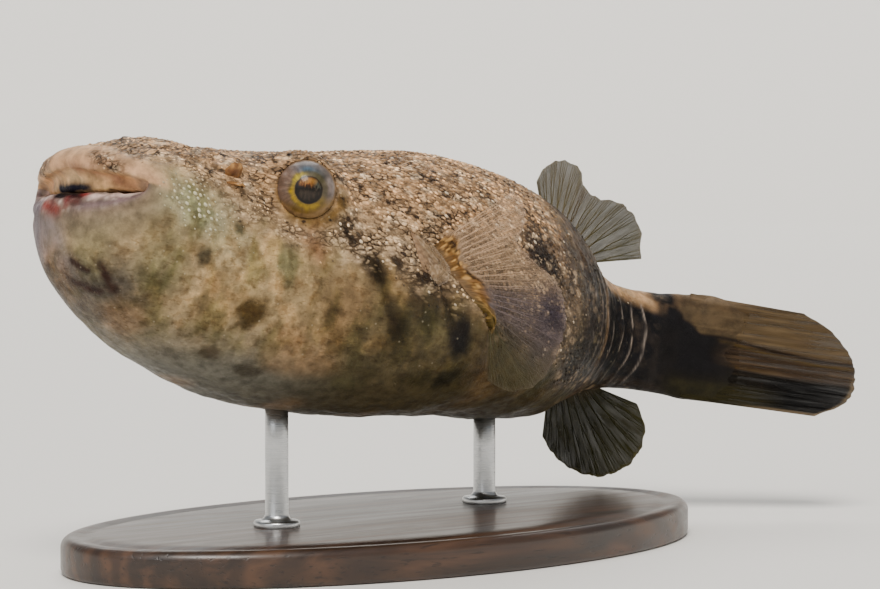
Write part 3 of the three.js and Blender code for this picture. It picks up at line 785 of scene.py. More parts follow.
# Blotches: place on the left side, reach, stretch and its tilt in degrees, colour, strength.
BLOTCHES = [
    ((14.2, -12.2, 1.3), 0.6, 1.0, 0, (58, 60, 44), 0.8),
    ((10.8, -11.4, -2.1), 0.85, 1.1, 0, (60, 54, 38), 0.85),
    ((17.6, -11.3, -7.1), 1.6, 1.15, 20, (64, 47, 14), 0.95),
    ((12.5, -10.0, -7.0), 1.2, 1.4, 80, (84, 66, 38), 0.5),
    ((12.5, -8.1, -9.9), 0.85, 1.4, 10, (92, 80, 56), 0.5),
    ((15.8, -7.9, -11.6), 0.75, 1.7, -15, (58, 46, 34), 0.75),
    ((20.7, -8.0, -12.9), 0.65, 2.4, -8, (58, 50, 38), 0.7),
    ((20.6, -12.9, -1.4), 1.3, 1.7, 100, (78, 86, 56), 0.65),
    ((27.0, -13.1, -6.3), 1.1, 1.9, 105, (84, 66, 38), 0.7),
    ((28.6, -12.5, -8.8), 1.0, 1.5, 80, (70, 56, 30), 0.7),
    ((24.4, -13.5, -3.0), 0.5, 1.8, 95, (92, 76, 58), 0.5),
    ((30.8, -14.0, -0.2), 1.15, 1.25, -35, (40, 28, 16), 0.95),
    ((34.8, -14.1, -6.7), 1.2, 1.9, 95, (44, 36, 16), 0.9),
    ((33.2, -14.5, 0.9), 0.55, 2.0, -50, (38, 26, 16), 0.9),
    ((36.6, -15.0, -0.9), 1.15, 1.6, -60, (46, 34, 20), 0.85),
    ((38.0, -15.2, -4.0), 0.8, 2.2, 95, (58, 52, 24), 0.6),
    ((42.3, -15.1, -5.4), 1.6, 1.6, 100, (16, 9, 6), 1.0),
    ((43.3, -12.8, -10.3), 1.0, 1.7, 30, (34, 30, 16), 0.85),
    ((39.5, -12.5, -10.7), 0.85, 2.0, 10, (58, 52, 28), 0.65),
    ((32.0, -10.5, -12.6), 0.7, 2.2, 0, (72, 68, 44), 0.5),
    ((57.8, -15.0, -2.4), 3.3, 1.1, 60, (30, 28, 42), 0.95),
    ((66.3, -12.6, -5.4), 2.5, 1.2, 40, (26, 22, 10), 0.95),
    ((54.6, -13.8, 6.6), 3.0, 1.25, 62, (36, 24, 18), 0.95),
    ((56.8, -14.3, 5.3), 1.7, 1.6, -20, (18, 12, 9), 1.0),
    ((50.5, -15.4, -5.0), 1.5, 2.0, 80, (70, 66, 52), 0.6),
    ((61.5, -12.0, -9.0), 1.3, 2.0, 20, (70, 66, 40), 0.5),
    ((48.0, -11.5, 10.5), 0.9, 1.4, 20, (60, 46, 36), 0.7),
    ((40.5, -10.5, 11.0), 0.8, 1.6, -30, (64, 50, 38), 0.6),
    ((31.0, -9.0, 11.0), 0.8, 1.7, -30, (64, 50, 38), 0.6),
    ((63.5, -12.6, 8.0), 1.6, 1.5, 60, (60, 46, 34), 0.7),
    ((69.5, -10.0, 8.5), 1.4, 1.5, 60, (52, 40, 30), 0.7),
    ((45.0, -14.6, 5.5), 0.7, 1.4, -30, (60, 46, 36), 0.6),
    ((26.3, -12.6, 6.6), 0.8, 1.5, -50, (40, 30, 24), 0.75),
    ((27.8, -13.2, 4.6), 0.7, 1.8, -50, (42, 32, 24), 0.7),
]


# Short dark strokes on the chin: start, end, width, strength.
CHIN_MARKS = [
    ((1.8, -5.5, -4.4), (3.9, -5.4, -6.7), 0.5, 1.0), ((0.3, -2.2, -4.2), (1.3, -3.9, -5.1), 0.4, 0.9),
    ((1.4, -0.6, -6.1), (3.0, -4.0, -7.2), 0.55, 0.8), ((5.0, -8.6, -6.2), (6.2, -8.9, -6.6), 0.4, 0.4),
]


# Dark strokes from the eye down past the gill cover: start, end, width, strength.
GILL_MARKS = [
    ((25.6, -13.0, 4.6), (31.4, -14.1, -0.4), 0.62, 0.85), ((30.0, -13.9, 1.0), (31.8, -14.2, -0.9), 1.0, 0.7),
    ((31.8, -14.4, -0.8), (34.6, -14.2, -6.5), 0.5, 0.9), ((34.0, -14.6, 0.6), (36.8, -14.9, -3.4), 0.7, 0.6),
    ((36.5, -15.0, 1.6), (38.6, -15.2, -3.0), 0.8, 0.6), ((38.2, -15.3, 0.4), (41.2, -15.3, -4.4), 0.75, 0.75),
    ((26.0, -13.1, -1.0), (27.6, -13.2, -5.5), 0.8, 0.35), ((29.0, -13.4, -2.5), (29.8, -12.9, -7.0), 0.7, 0.35),
]


# Red edges where the two halves of the bite meet, and a painted highlight on the lower lip: start, end, width,
# strength, colour.
BITE_MARKS = [
    ((-0.7, -1.4, 2.0), (-0.3, -3.1, 1.8), 0.5, 0.8, (84, 26, 24)),
    ((0.2, -3.0, 3.1), (0.1, -3.8, 2.7), 0.42, 0.95, (128, 40, 40)),
    ((-0.6, -1.2, 2.2), (-0.7, -1.6, 1.4), 0.4, 0.6, (120, 50, 50)),
    ((-0.7, 2.5, 1.7), (-1.0, -0.2, 1.0), 0.72, 0.85, (122, 34, 28)),
    # painted highlight on the front of the lower lip
    ((-0.8, -0.4, 1.9), (-0.6, -0.9, 1.5), 0.28, 0.8, (206, 186, 172)),
]


# Thin dark seams of the tail fin with gold beside them: height at the root, fall towards the tip,
# width, where they end, colour.
SEAMS = [(2.35, 1.7, 0.16, 125, (16, 8, 3)), (1.9, 1.8, 0.2, 125, (58, 44, 17)),
         (-1.0, 0.9, 0.2, 112, (58, 42, 18)), (-1.5, 1.0, 0.3, 115, (9, 6, 4))]


# Where the rough back ends: place along the body and height.
BACK_EDGE = [(0, 7.2), (7, 6.0), (14, 3.2), (21, 1.6), (28, 1.2), (36, -0.6), (45, -3.5), (55, -5), (70, -7),
             (85, -8), (100, -9)]


def paint_tail(points):
    """Bands that run from the end of the body out over the tail fin."""
    x, z = points[:, 0], points[:, 2] + 0.25 * wander(points * (0.3, 1, 1), 1.6, 41)
    back = smooth(100, 119, x)
    fine = points * (0.22, 0.22, 2.6)
    colour, lay = start_paint((44, 32, 20), len(x))
    top = smooth(2.2, 2.8, z + 1.5 * back)
    lay(top, (72, 58, 39))
    lay(0.35 * top, (98, 81, 57), (0.0, 0.5, wander(fine, 1.0, 42)))
    lay(0.35 * top, (62, 45, 26), (0.1, 0.6, wander(fine, 1.1, 43)))
    lay(0.4 * (1 - top), (76, 60, 42), (0.1, 0.5, wander(fine, 0.9, 46)))
    lay(0.5, (132, 112, 90), (6.2, 7.2, z), (110, 103, x))
    for level, fall, width, reach, ink in SEAMS:
        seam = np.exp(-((z - level + fall * back) / width) ** 2)
        lay(0.85 * seam, ink, (99, 102, x), (reach, reach - 5, x))
    # black below, deepest towards the tip, and olive at the lower root
    lay(0.95, (13, 10, 5), (-1.2, -2.2, z + 0.4 * back))
    lay(1, (3, 2, 2), (-1.4, -2.4, z), (106, 112, x + wander(points, 1.6, 44)))
    lay(0.7, (38, 34, 14), (-3.0, -4.0, z), (112, 106, x))
    line = np.interp(x, [93.5, 95, 97.5, 100, 104], [9, 7, 4.5, 2.8, 1.8]) + 0.4 * wander(points, 1.2, 47)
    lay(1, (9, 7, 9), (0.3, -0.5, z - line), (105.5, 101, x), (-3.4, -1.8, z))
    return colour


def paint_rear(lay, points):
    """The rear of the trunk and the peduncle; gives back how far each point is in the two dark parts."""
    x, _, z = points.T
    # the rear of the trunk: golden brown with dark clouds, black where the folds start
    rear = smooth(56, 68, x) * smooth(-9, -4, z)
    lay(0.92 * rear, (38, 26, 12))
    lay(0.9 * rear, (24, 16, 10), (0.15, 0.6, wander(points * (1, 1, 0.6), 2.6, 23)))
    lay(0.7, (46, 36, 24), (68, 76, x), (-12, -6, z), (7.5, 4, z))
    lay(0.6, (56, 40, 25), (55, 60, x), (11, 8, z), (-1, 3, z))
    lay(0.85, (17, 14, 14), (64.5, 69, x + wander(points, 1.8, 76)), (8.5, 6, z), (-9, -6, z))
    # peduncle: dark blue-black sides, tan ridge above, brownish olive below
    tail = smooth(76.5, 82, x)
    side = tail * smooth(6.2, 4.2, z - 0.12 * (90 - x)) * smooth(-6.5, -4.0, z)
    lay(tail, (182, 144, 104))
    lay(tail, (36, 28, 14), (-2.5, -5.5, z))
    lay(side, (11, 10, 14), (99, 96, x))
    lay(0.9 * side, (17, 13, 11), (93, 96, x))
    lay(0.35 * side, (44, 36, 30), (0.1, 0.6, wander(points, 1.5, 24)))
    lay(fold_lines(points, 0.13) * np.clip(0.45 + 0.9 * wander(points, 1.1, 19), 0, 0.9), (146, 134, 124))
    lay(1, paint_tail(points), (94.5, 97.5, x + 0.5 * wander(points, 1.2, 26)))
    # the dark bar at the root of the tail fin
    for start, end in (((94.0, 0.4, 8.2), (94.5, -1.0, 6.2)), ((94.5, -1.0, 6.2), (96.2, -2.6, 3.4))):
        lay(near_stroke(points, start, end, 1.5) * (1.3 + 0.5 * wander(points, 0.8, 75)), (9, 7, 9))
    return rear, side


def paint_marks(lay, points, left):
    """The arrow on the back, the blotches, and the dark strokes of gill cover and chin."""
    # a faint dark arrow on top of the back behind the eyes, as the species wears
    for way in (-1, 1):
        arrow = near_stroke(points, (29, 0, 12.5), (41, way * 8.5, 13.5), 1.4)
        lay(arrow * (0.45 + 0.3 * wander(points, 1.3, 25)), (84, 62, 48))
    for number, (at, reach, stretch, tilt, ink, strength) in enumerate(BLOTCHES):
        gap = left - at
        cos, sin = math.cos(math.radians(tilt)), math.sin(math.radians(tilt))
        span = np.hypot((gap[:, 0] * cos + gap[:, 2] * sin) / (reach * stretch),
                        (gap[:, 2] * cos - gap[:, 0] * sin) / reach)
        span = np.hypot(span, gap[:, 1] / 6)
        near = span < 3
        span[near] += 0.3 * wander(points[near], reach * 0.8, 50 + number) + 0.18 * wander(points[near], 0.5, 90)
        lay(strength * near, ink, (1.45, 0.55, span))
    for marks, spread, firm, size, seed, ink in ((GILL_MARKS, 1.25, 1.05, 0.9, 68, (44, 34, 19)),
                                                 (CHIN_MARKS, 1.15, 1.25, 0.6, 27, (46, 25, 16))):
        broken = firm + 0.6 * wander(points, size, seed)
        for start, end, width, strength in marks:
            lay(strength * broken * near_stroke(left, start, end, spread * width), ink)


def paint_lips(lay, points, left, station, angle, ink):
    """Lips, from the outside to the painted shade inside the mouth, and the marks and a painted highlight where
    the bite meets.
    """
    x, y, _ = points.T
    aside = np.abs(y)
    front = smooth(6.6, 5.6, station)
    above = smooth(92, 84, np.abs(angle))
    upper, lower = front * above, front * (1 - above)
    lay(upper, ink, (7, 4.5, station))
    # the orange roll inside the upper lip
    roll = upper * smooth(4.3, 3.3, station + 0.25 * wander(points, 1.0, 28)) * smooth(1.0, 2.0, station)
    lay(roll, (234, 196, 148))
    lay(0.6 * roll, (244, 194, 132), (0.6, 2.4, aside), (8.5, 6.5, aside))
    # painted shade: the roll darker towards the corner of the mouth
    lay(0.6 * roll, (206, 146, 98), (4.6, 6.4, aside), (9.2, 8.0, aside))
    lay(roll, (184, 150, 122), (7.6, 9.0, aside))
    lay(0.25 * roll, (190, 138, 88), (0.1, 0.5, wander(points * (0.6, 0.5, 1.6), 0.8, 29)))
    # painted shade along the crease above the roll, and along the fold over it
    for start, end in zip(LIP_CREASE, LIP_CREASE[1:]):
        lay(0.5 * near_stroke(left, start, end, 0.75), (138, 92, 74))
    lay(0.35 * near_stroke(left, (-0.1, -1.6, 5.9), (1.2, -5.6, 5.6), 0.8), (118, 80, 62))
    # painted shade in the gap between the lips towards the corner, and where the upper lip turns into the mouth
    lay(0.85 * near_stroke(left, (2.0, -4.9, 3.55), (3.4, -6.8, 3.5), 0.24), (62, 36, 22))
    lay(0.8 * upper, (84, 48, 26), (2.1, 1.7, station))
    # the pinkish grey lower lip, with a pale edge over a darker line of painted shade in the crease below it
    lay(lower, (112, 94, 84), (6.4, 3.2, station))
    lay(0.4 * lower, (92, 82, 66), (0.0, 0.5, wander(points, 1.1, 30)))
    lay(0.5 * lower, (214, 198, 184), (4.4, 3.2, station), (0.1, 0.6, wander(points, 0.45, 71)))
    lay(lower * np.exp(-((station - 2.75) / 0.4) ** 2) * (0.8 + 0.5 * wander(points, 0.5, 34)), (206, 178, 168))
    lay(0.6 * lower * np.exp(-((station - 3.7) / 0.35) ** 2), (108, 88, 94), (1.5, 4, aside))
    lay(0.6 * lower, (92, 86, 100), (2.2, 4.6, y), (3, 0, x))
    # painted shade: near black inside the mouth
    lay(1, (38, 22, 16), (1.5, 0.8, station))
    # painted shade: a purple-grey crease line near the corner of the mouth
    lay(0.7 * near_stroke(left, (1.6, -7.8, 2.5), (3.8, -7.9, 3.3), 0.26), (96, 76, 82))
    # a blue-black patch on both lips
    width = 0.8 + 0.3 * wander(points * (0.3, 1, 0.3), 0.4, 70)
    lay(1.2 * near_stroke(points, (1.6, 3.2, 3.7), (0.9, -2.6, 3.6), width), (26, 23, 38))
    width = 0.85 + 0.2 * wander(points * (1, 1, 0.3), 0.35, 69)
    lay(1.3 * near_stroke(points, (-0.4, 1.0, 2.8), (-0.1, -2.9, 2.6), width), (9, 6, 10))
    for start, end, width, strength, ink in BITE_MARKS:
        lay(strength * near_stroke(points, start, end, width), ink)


def paint_round_eyes(lay, points):
    """A yellow-brown mound low and forward of each eye; gives back the distance to the nearer eye."""
    gaps = []
    for way in (-1, 1):
        flip = np.array([1, way, 1])
        eye, nostril = EYE_AT * flip, NOSTRIL_AT * flip
        height, distance = points[:, 2] - eye[2], np.linalg.norm(points - eye, axis=1)
        gaps.append(distance)
        ring = np.exp(-((distance - 3.9) / 0.9) ** 2)
        lay(0.85 * ring, (112, 82, 32), (1.6, -1.4, height))
        lay(0.5 * ring, (118, 96, 76), (0.0, 2.5, height))
        pink = near_stroke(points, eye + (0, way * 1.5, -5.2), eye + (1.4, way * 1.9, -6.6), 1.2)
        lay(0.6 * pink, (140, 92, 64))
        pale = near_stroke(points, nostril + (1.7, 0.6 * way, -0.3), nostril + (1.9, 0.6 * way, -0.5), 0.5)
        lay(0.8 * pale, (220, 196, 164))
    return np.min(gaps, axis=0)


def paint_skin(station, angle, points, inks):
    """Colour, roughness of grain, strength of dark flecks, and greenish cheek for each point of the skin."""
    x, y, z = points.T
    # marks are given for the left side; on the right they lie a little elsewhere
    left, right = on_left(points), y > 0
    left[right, 0] += 0.7 * np.sin(x[right] * 0.31)
    left[right, 2] += 0.6 * np.cos(x[right] * 0.23)
    colour, lay = start_paint(inks["belly"], len(x))
    # pale belly: darker grey underneath as painted shade of the underside, brown in the middle, warmer and greener
    # clouds
    lay(0.9, (98, 99, 92), (-6, -13.5, z))
    lay(0.85, (66, 57, 35), (18, 34, x), (3, -5, z))
    lay(0.8, (142, 122, 93), (17, 5, x), (6, 1, z), (-9, -5, z))
    # painted shade: darker grey under the chin
    lay(0.85, (64, 63, 61), (11, 3, x), (-2, -6, z))
    lay(0.75, (112, 108, 120), (3.4, 0.2, x), (3, 0, z), (-6.5, -3.5, z),
        (-3.0, 1.0, y + 0.8 * wander(points, 1.5, 67)))
    warm = wander(points, 5.5, 22)
    lay(0.4, (148, 114, 78), (0.1, 0.7, warm))
    lay(0.4, (116, 114, 76), (-0.1, -0.7, warm), (-9, -5, z))
    # the rough back, down to an edge that falls from snout to tail
    edge = np.interp(x, *zip(*BACK_EDGE))
    rough = smooth(-1.8, 2.0, z - edge + 1.3 * wander(points, 3.0, 20) + 0.6 * wander(points, 1.1, 21))
    lay(rough, inks["flank"])
    lay(rough, inks["back"], (2, 9, z))
    # greenish white of the front cheek
    cheek = np.exp(-((x - 9.2) / 5.6) ** 2 - ((z + 0.38 * (x - 8.0) - 3.0) / 3.0) ** 2)
    cheek *= smooth(7.5, 9.0, np.abs(y)) * smooth(2.6, 4.2, x)
    lay(0.8 * cheek, (160, 158, 128))
    lay(0.6 * cheek, (112, 114, 84), (0.0, 0.5, wander(points, 1.0, 66)))
    # shade on the sides behind the gill cover
    lay(0.55, (84, 74, 52), (44, 52, x), (2, -3, z), (-11, -7, z))
    lay(0.35, (78, 66, 38), (30, 40, x), (2, -4, z))
    rear, side = paint_rear(lay, points)
    paint_marks(lay, points, left)
    paint_lips(lay, points, left, station, angle, inks["lip"])
    mound = np.exp(-((paint_round_eyes(lay, points) - 4.0) / 0.95) ** 2) * smooth(8.6, 6.2, z)
    # grain and flecks: none on the lips and the eyes' mounds, but some on the upper lip's outside
    face = np.maximum(smooth(6.6, 8.5, x), smooth(5.6, 7.6, z) * smooth(0.6, 2.6, x)) * (1 - cheek * 0.3)
    behind_lips = station + 0.35 * wander(points, 1.3, 65) + 0.5 * smooth(1.5, 4.5, np.abs(y))
    grain = rough * face * smooth(4.5, 5.7, behind_lips) * smooth(96, 92, x)
    grain *= (1 - 0.85 * mound) * (1 - 0.84 * rear) * (1 - 0.9 * side)
    fleck = np.clip(rough + 0.7 * cheek, 0, 1) * face * smooth(92, 84, x)
    fleck = np.maximum(fleck, near_stroke(left, (0.3, -4.6, 7.2), (0.9, -7.0, 5.6), 1.2))
    grain = np.maximum(grain, 0.9 * near_stroke(left, (0.3, -4.6, 7.2), (0.9, -7.0, 5.6), 1.1))
    speckle = 0.35 + 0.6 * wander(points, 0.4, 74)
    lay(speckle * near_stroke(left, (0.3, -4.4, 7.0), (0.9, -6.6, 5.9), 0.9), (70, 44, 30))
    return colour, grain, fleck, cheek


# ---------------------------------------------------------------- properties


def colour_property(name, description, default):
    return FloatVectorProperty(name=name, description=description, subtype="COLOR", size=3, min=0, max=1,
                               default=tuple(float(v) for v in linear(*default)))


def length_property(name, description, millimetres):
    return FloatProperty(name=name, description=description, default=millimetres * MM, min=0, unit="LENGTH",
                         precision=5)


class FishSkinSettings(bpy.types.PropertyGroup):
    coat_depth: length_property("Coat depth", "How far the skin lies inside the finished outline", 0.12)
    back: colour_property("Back", "Skin between the beads of the back", (212, 168, 122))
    flank: colour_property("Flank", "Skin between the beads of the side", (192, 162, 126))
    belly: colour_property("Belly", "Smooth skin below", (162, 138, 100))
    lip: colour_property("Lip", "Outside of the lips", (188, 147, 111))
    bead_spacing: length_property("Bead spacing", "Least distance between two beads", 0.54)
    bead_size: length_property("Bead size", "Half the length of the largest bead", 0.34)
    bead_seed: IntProperty(name="Bead seed", description="Seed of the beads' places", default=7)


class FishFinSettings(bpy.types.PropertyGroup):
    edge_thickness: length_property("Edge thickness", "Membrane thickness at the free edge", 0.16)
    scallop: FloatProperty(name="Scallop", description="How far the edge draws back between rays, as a share",
                           default=0.016, min=0, max=0.3, subtype="FACTOR")
    ray_sides: IntProperty(name="Ray sides", description="Facets round each fin ray", default=6, min=3)


class FishStandSettings(bpy.types.PropertyGroup):
    base_length: length_property("Base length", "Length of the oval base", 84)
    base_width: length_property("Base width", "Width of the oval base", 46)
    base_thickness: length_property("Base thickness", "Thickness of the oval base", 4)
    rod_radius: length_property("Rod radius", "Radius of each steel rod", 1.3)
    wood_dark: colour_property("Dark wood", "Darkest grain of the base", (34, 22, 15))
    wood_light: colour_property("Light wood", "Lightest grain of the base", (78, 52, 34))


class FishStageSettings(bpy.types.PropertyGroup):
    azimuth: FloatProperty(name="Azimuth", description="Camera's turn round the fish", subtype="ANGLE",
                           default=math.radians(-40))
    elevation: FloatProperty(name="Elevation", description="Camera's height above the level", subtype="ANGLE",
                             default=math.radians(3))
    distance: length_property("Distance", "Camera to the middle of the fish", 378)
    floor: colour_property("Floor", "Pale floor", (236, 234, 230))


# ---------------------------------------------------------------- operators


class BuildSkin(bpy.types.Operator):
    """One skin over head, lips, trunk, belly and peduncle, with creases, folds and markings"""

    bl_idname = "fish.build_skin"
    bl_label = "Build skin"

    def execute(self, context):
        settings = context.scene.fish_skin
        station, angle, base, normal = skin_grid(-settings.coat_depth / MM)
        inks = {key: np.array(getattr(settings, key)) for key in ("back", "flank", "belly", "lip")}
        colour, grain, fleck, cheek = paint_skin(station, angle, base, inks)
        shaped = fit_orbits(base + relief(station, angle, base)[:, None] * normal)
        x, y, z = base.T
        # the ragged rear end, hidden in the tail fin
        shaped[:, 0] += smooth(100, 104, x) * (0.5 + 1.4 * wander(base * (0, 0, 1), 1.7, 12))
        ends = [shaped[:SKIN_SIDES].mean(axis=0), shaped[-SKIN_SIDES:].mean(axis=0)]
        # where beads grow, and how large
        eye_gap = np.min([np.linalg.norm(base - EYE_AT * (1, way, 1), axis=1) for way in (-1, 1)], axis=0)
        papillae = 0.9 * cheek * smooth(3.4, 4.4, x) * smooth(115, 90, np.abs(angle))
        coat = np.clip(grain + papillae, 0, 1) * smooth(3.3, 4.2, eye_gap)
        coat *= 1 - 0.88 * smooth(68, 76, x) * smooth(7.2, 5.2, z)
        bead = np.maximum(0.5 + 0.5 * smooth(10, 34, x), 1.75 * cheek * smooth(13.5, 10, x))
        bead *= (0.65 + 0.35 * grain) * (1 - 0.3 * smooth(74, 84, x))
        bare = (1 - grain) * smooth(94, 86, x) * smooth(5.6, 6.4, station) * smooth(-14, -9, z)
        lie = np.tile((0.08, 0, -0.055), (len(x), 1))
        flow = (pose(base + lie) - pose(base)) / (0.1 * MM)
        # unwrap: along the body and round it
        step = np.linalg.norm(np.diff(base.reshape(SKIN_ROWS, SKIN_SIDES, 3), axis=0), axis=2).mean(axis=1)
        run = np.concatenate([[0], np.cumsum(step)]) / step.sum()
        unwrap = 0.01 + 0.98 * np.stack([np.repeat(run, SKIN_SIDES), (angle + 180) / 360], axis=1)
        values = {"tint": colour, "rest": base, "grain": grain, "fleck": fleck, "cheek": cheek, "bare": bare,
                  "coat_left": coat * (y <= 0), "coat_right": coat * (y > 0), "bead": bead, "flow": flow,
                  "root_uv": np.column_stack([unwrap, 0 * x])}
        values = {key: with_ends(each) for key, each in values.items()}
        skin = make_object("fish_skin", np.concatenate([pose(shaped), pose(np.array(ends))]),
                           tube_faces(SKIN_ROWS, SKIN_SIDES), values)
        uv = with_ends(unwrap)[corner_numbers(skin.data)]
        for face in skin.data.polygons:
            part = uv[face.loop_start:face.loop_start + face.loop_total]
            if face.loop_total == 4 and np.ptp(part[:, 1]) > 0.5:
                part[part[:, 1] < 0.5, 1] = 0.99
        skin.data.uv_layers.new(name="OFBake").data.foreach_set("uv", uv.ravel())
        settle(skin, skin_material(), "skin_back", "head", "trunk", "peduncle", "belly", "upper_lip", "lower_lip")
        return {"FINISHED"}


def bead_tree():
    """Node tree: small flattened beads scattered over a skin, lying along its flow."""
    tree = PieceTree("bead_coat", Spacing="Float", Size="Float", Where="String", Seed="Int")
    given = tree.given
    scatter = tree.add("GeometryNodeDistributePointsOnFaces", {"distribute_method": "POISSON"},
                       Mesh=given["Geometry"], Distance_Min=given["Spacing"], Density_Max=2.0e7,
                       Density_Factor=tree.named(given["Where"]), Seed=given["Seed"])
    upright = tree.add("FunctionNodeAlignRotationToVector", {"axis": "Z"}, Vector=scatter.outputs["Normal"])
    along = tree.add("FunctionNodeAlignRotationToVector", {"axis": "X", "pivot_axis": "Z"},
                     Rotation=upright.outputs[0], Vector=tree.named("flow", "FLOAT_VECTOR"))
    ball = tree.add("GeometryNodeMeshIcoSphere", Radius=1.0, Subdivisions=1)
    bead = tree.add("GeometryNodeTransform", Geometry=ball.outputs["Mesh"], Scale=(1.0, 0.66, 0.5))
    place = tree.add("GeometryNodeInputPosition").outputs[0]
    bead = tree.keep(bead.outputs[0], "local", place, "FLOAT_VECTOR", "POINT")
    size = tree.product(tree.named("bead"), tree.random(0.55, 1.0, 3), given["Size"])
    placed = tree.add("GeometryNodeInstanceOnPoints", Points=scatter.outputs["Points"], Instance=bead,
                      Rotation=along.outputs[0], Scale=size)
    return tree.finish(tree.keep(placed.outputs[0], "tone", tree.random(0.0, 1.0, 11), "FLOAT", "INSTANCE"))


class BuildCoat(bpy.types.Operator):
    """Beads of the rough back and cheeks, one piece for each side of the fish"""

    bl_idname = "fish.build_coat"
    bl_label = "Build bead coat"

    def execute(self, context):
        settings = context.scene.fish_skin
        tree, material = bead_tree(), bead_material()
        for side in ("left", "right"):
            coat = run_nodes("bead_coat_" + side, bpy.data.objects["fish_skin"].data, tree, {
                "Spacing": settings.bead_spacing, "Size": settings.bead_size, "Where": "coat_" + side,
                "Seed": settings.bead_seed, "Material": material})
            mesh = coat.data
            if not mesh.polygons:
                raise RuntimeError("no beads were made on the " + side)
            root, local = (np.zeros(len(mesh.vertices) * 3) for _ in range(2))
            mesh.attributes["root_uv"].data.foreach_get("vector", root)
            mesh.attributes["local"].data.foreach_get("vector", local)
            uv = (root + BEAD_PATCH * local).reshape(-1, 3)[:, :2]
            for layer in list(mesh.uv_layers):
                mesh.uv_layers.remove(layer)
            mesh.uv_layers.new(name="OFBake").data.foreach_set("uv", uv[corner_numbers(mesh)].ravel())
            drop(mesh, "coat_left", "coat_right", "bead", "flow", "root_uv", "local")
            settle(coat, material, "skin_back")
        return {"FINISHED"}


def paint_eye(tilt, spin, rest):
    """Colours of an eyeball by angle from its gaze and angle round it."""
    out = np.sin(tilt) * EYE_RADIUS
    aside, high = out * np.cos(spin), out * np.sin(spin)
    place = np.stack([aside, high, 0 * out], axis=1)
    # the pupil and iris sit a little forward and low of the ball's middle
    across, rise = aside + 0.32, high + 0.16
    radius = np.hypot(across, rise) + 0.06 * wander(place, 0.4, 60)
    streak = wander(np.stack([np.cos(spin), np.sin(spin), 0.3 * out], axis=1), 0.16, 61)
    # clouded ring: grey, browner to the rear and below, with a painted bluish reflection above
    colour, lay = start_paint((104, 90, 84), len(out))
    lay(0.35, (150, 138, 134), (0.0, 0.8, streak))
    lay(0.4, (68, 58, 52), (0.0, -0.8, streak))
    lay(0.4, (112, 82, 58), (0.2, 2.0, aside))
    lay(0.7, (104, 80, 38), (-1.0, -2.4, high))
    # painted reflection: a bluish patch above the iris
    lay(0.85 * np.exp(-(aside / 1.2) ** 2 - ((high - 2.0) / 0.6) ** 2), (52, 80, 98))
    lay(0.7 * np.exp(-((aside + 1.35) / 0.75) ** 2 - ((high - 1.3) / 1.0) ** 2), (46, 60, 54))
    lay(0.75, (70, 62, 34), (2.3, 1.9, radius))
    lay(0.75 + 0.25 * streak, (112, 84, 18), (-1.1, -2.3, high + 0.35 * aside))
    # the gold crescent round the pupil
    gold = np.exp(-((radius - 1.78 - 0.1 * streak) / (0.28 + 0.1 * streak)) ** 2)
    gold *= smooth(-1.5, 0.5, 0.9 * across - 0.75 * rise)
    lay(gold * (0.85 + 0.3 * streak), (150, 122, 16))
    lay(0.7 * gold, (160, 146, 36), (0.3, 1.2, rise), (-0.2, 0.6, across))
    # the pupil, with painted light in its upper half: an amber glow and grey reflections in flames
    lay(1, (20, 14, 9), (1.56, 1.42, radius))
    flame = wander(place * (2.2, 0.8, 1), 0.3, 62) + 0.6 * wander(place * (3, 1.5, 1), 0.12, 63)
    lay(0.8, (120, 70, 22), (1.5, 0.9, radius), (0.1, 0.7, rise + 0.35 * flame), (-0.9, 0.1, across))
    lay(0.55, (172, 120, 40), (1.5, 1.0, radius), (0.5, 1.0, rise + 0.4 * flame))
    lay(0.5, (104, 108, 94), (1.45, 1.1, radius), (0.2, 0.6, rise + 0.4 * flame), (-0.3, -0.9, across))
    lay(0.4, (66, 52, 36), (1.35, 0.9, radius), (0.0, 0.5, flame))
    lay(0.4, (50, 42, 34), (1.2, 0.8, radius), (0.1, -0.4, rise))
    # the ball's edge, coloured like the skin
    rim = smooth(2.95, 3.36, out + 0.5 * smooth(-0.5, -2.5, high) + 3 * (np.cos(tilt) < 0.2))
    lay(0.9 * rim, (134, 106, 70))
    lay(0.6 * rim, (84, 62, 46), (0.0, 0.5, wander(rest, 0.5, 64)))
    return colour


class BuildEyes(bpy.types.Operator):
    """Glossy eyes with a brown pupil, gold iris and clouded grey ring"""

    bl_idname = "fish.build_eyes"
    bl_label = "Build eyes"

    def execute(self, context):
        material = eye_material()
        polar = np.radians(np.concatenate([np.linspace(0.6, 74, 92), np.linspace(77, 179, 22)]))
        turn = np.linspace(0, 2 * math.pi, EYE_SIDES, endpoint=False)
        tilt, spin = (a.ravel() for a in np.meshgrid(polar, turn, indexing="ij"))
        for way, side in ((-1, "left"), (1, "right")):
            middle, gaze = EYE_AT * (1, way, 1), GAZE * (1, way, 1) / np.linalg.norm(GAZE)
            ahead = np.cross(gaze, (0, 0, 1)) * -way
            ahead /= np.linalg.norm(ahead)
            above = np.cross(ahead, gaze) * (1 if np.cross(ahead, gaze)[2] > 0 else -1)
            out = np.sin(tilt) * EYE_RADIUS
            swell = EYE_RADIUS * (1 + 0.02 * np.exp(-(out / 1.9) ** 2) - 0.008)
            local = np.stack([np.sin(tilt) * np.cos(spin), np.sin(tilt) * np.sin(spin), np.cos(tilt)], axis=1)
            rest = middle + swell[:, None] * (local @ np.stack([ahead, above, gaze]))
            poles = middle + np.array([[1.0], [-1.0]]) * EYE_RADIUS * gaze * 1.01
            points = np.concatenate([rest, poles])
            iris = np.stack([out, np.sin(spin) * 0.5 + 0.3 * spin, np.cos(spin)], axis=1)
            eye = make_object("eye_ball_" + side, pose(points), tube_faces(len(polar), EYE_SIDES), {
                "tint": with_ends(paint_eye(tilt, spin, rest)), "rest": points, "iris": with_ends(iris)})
            settle(eye, material, "eye", "eye_" + side)
        return {"FINISHED"}


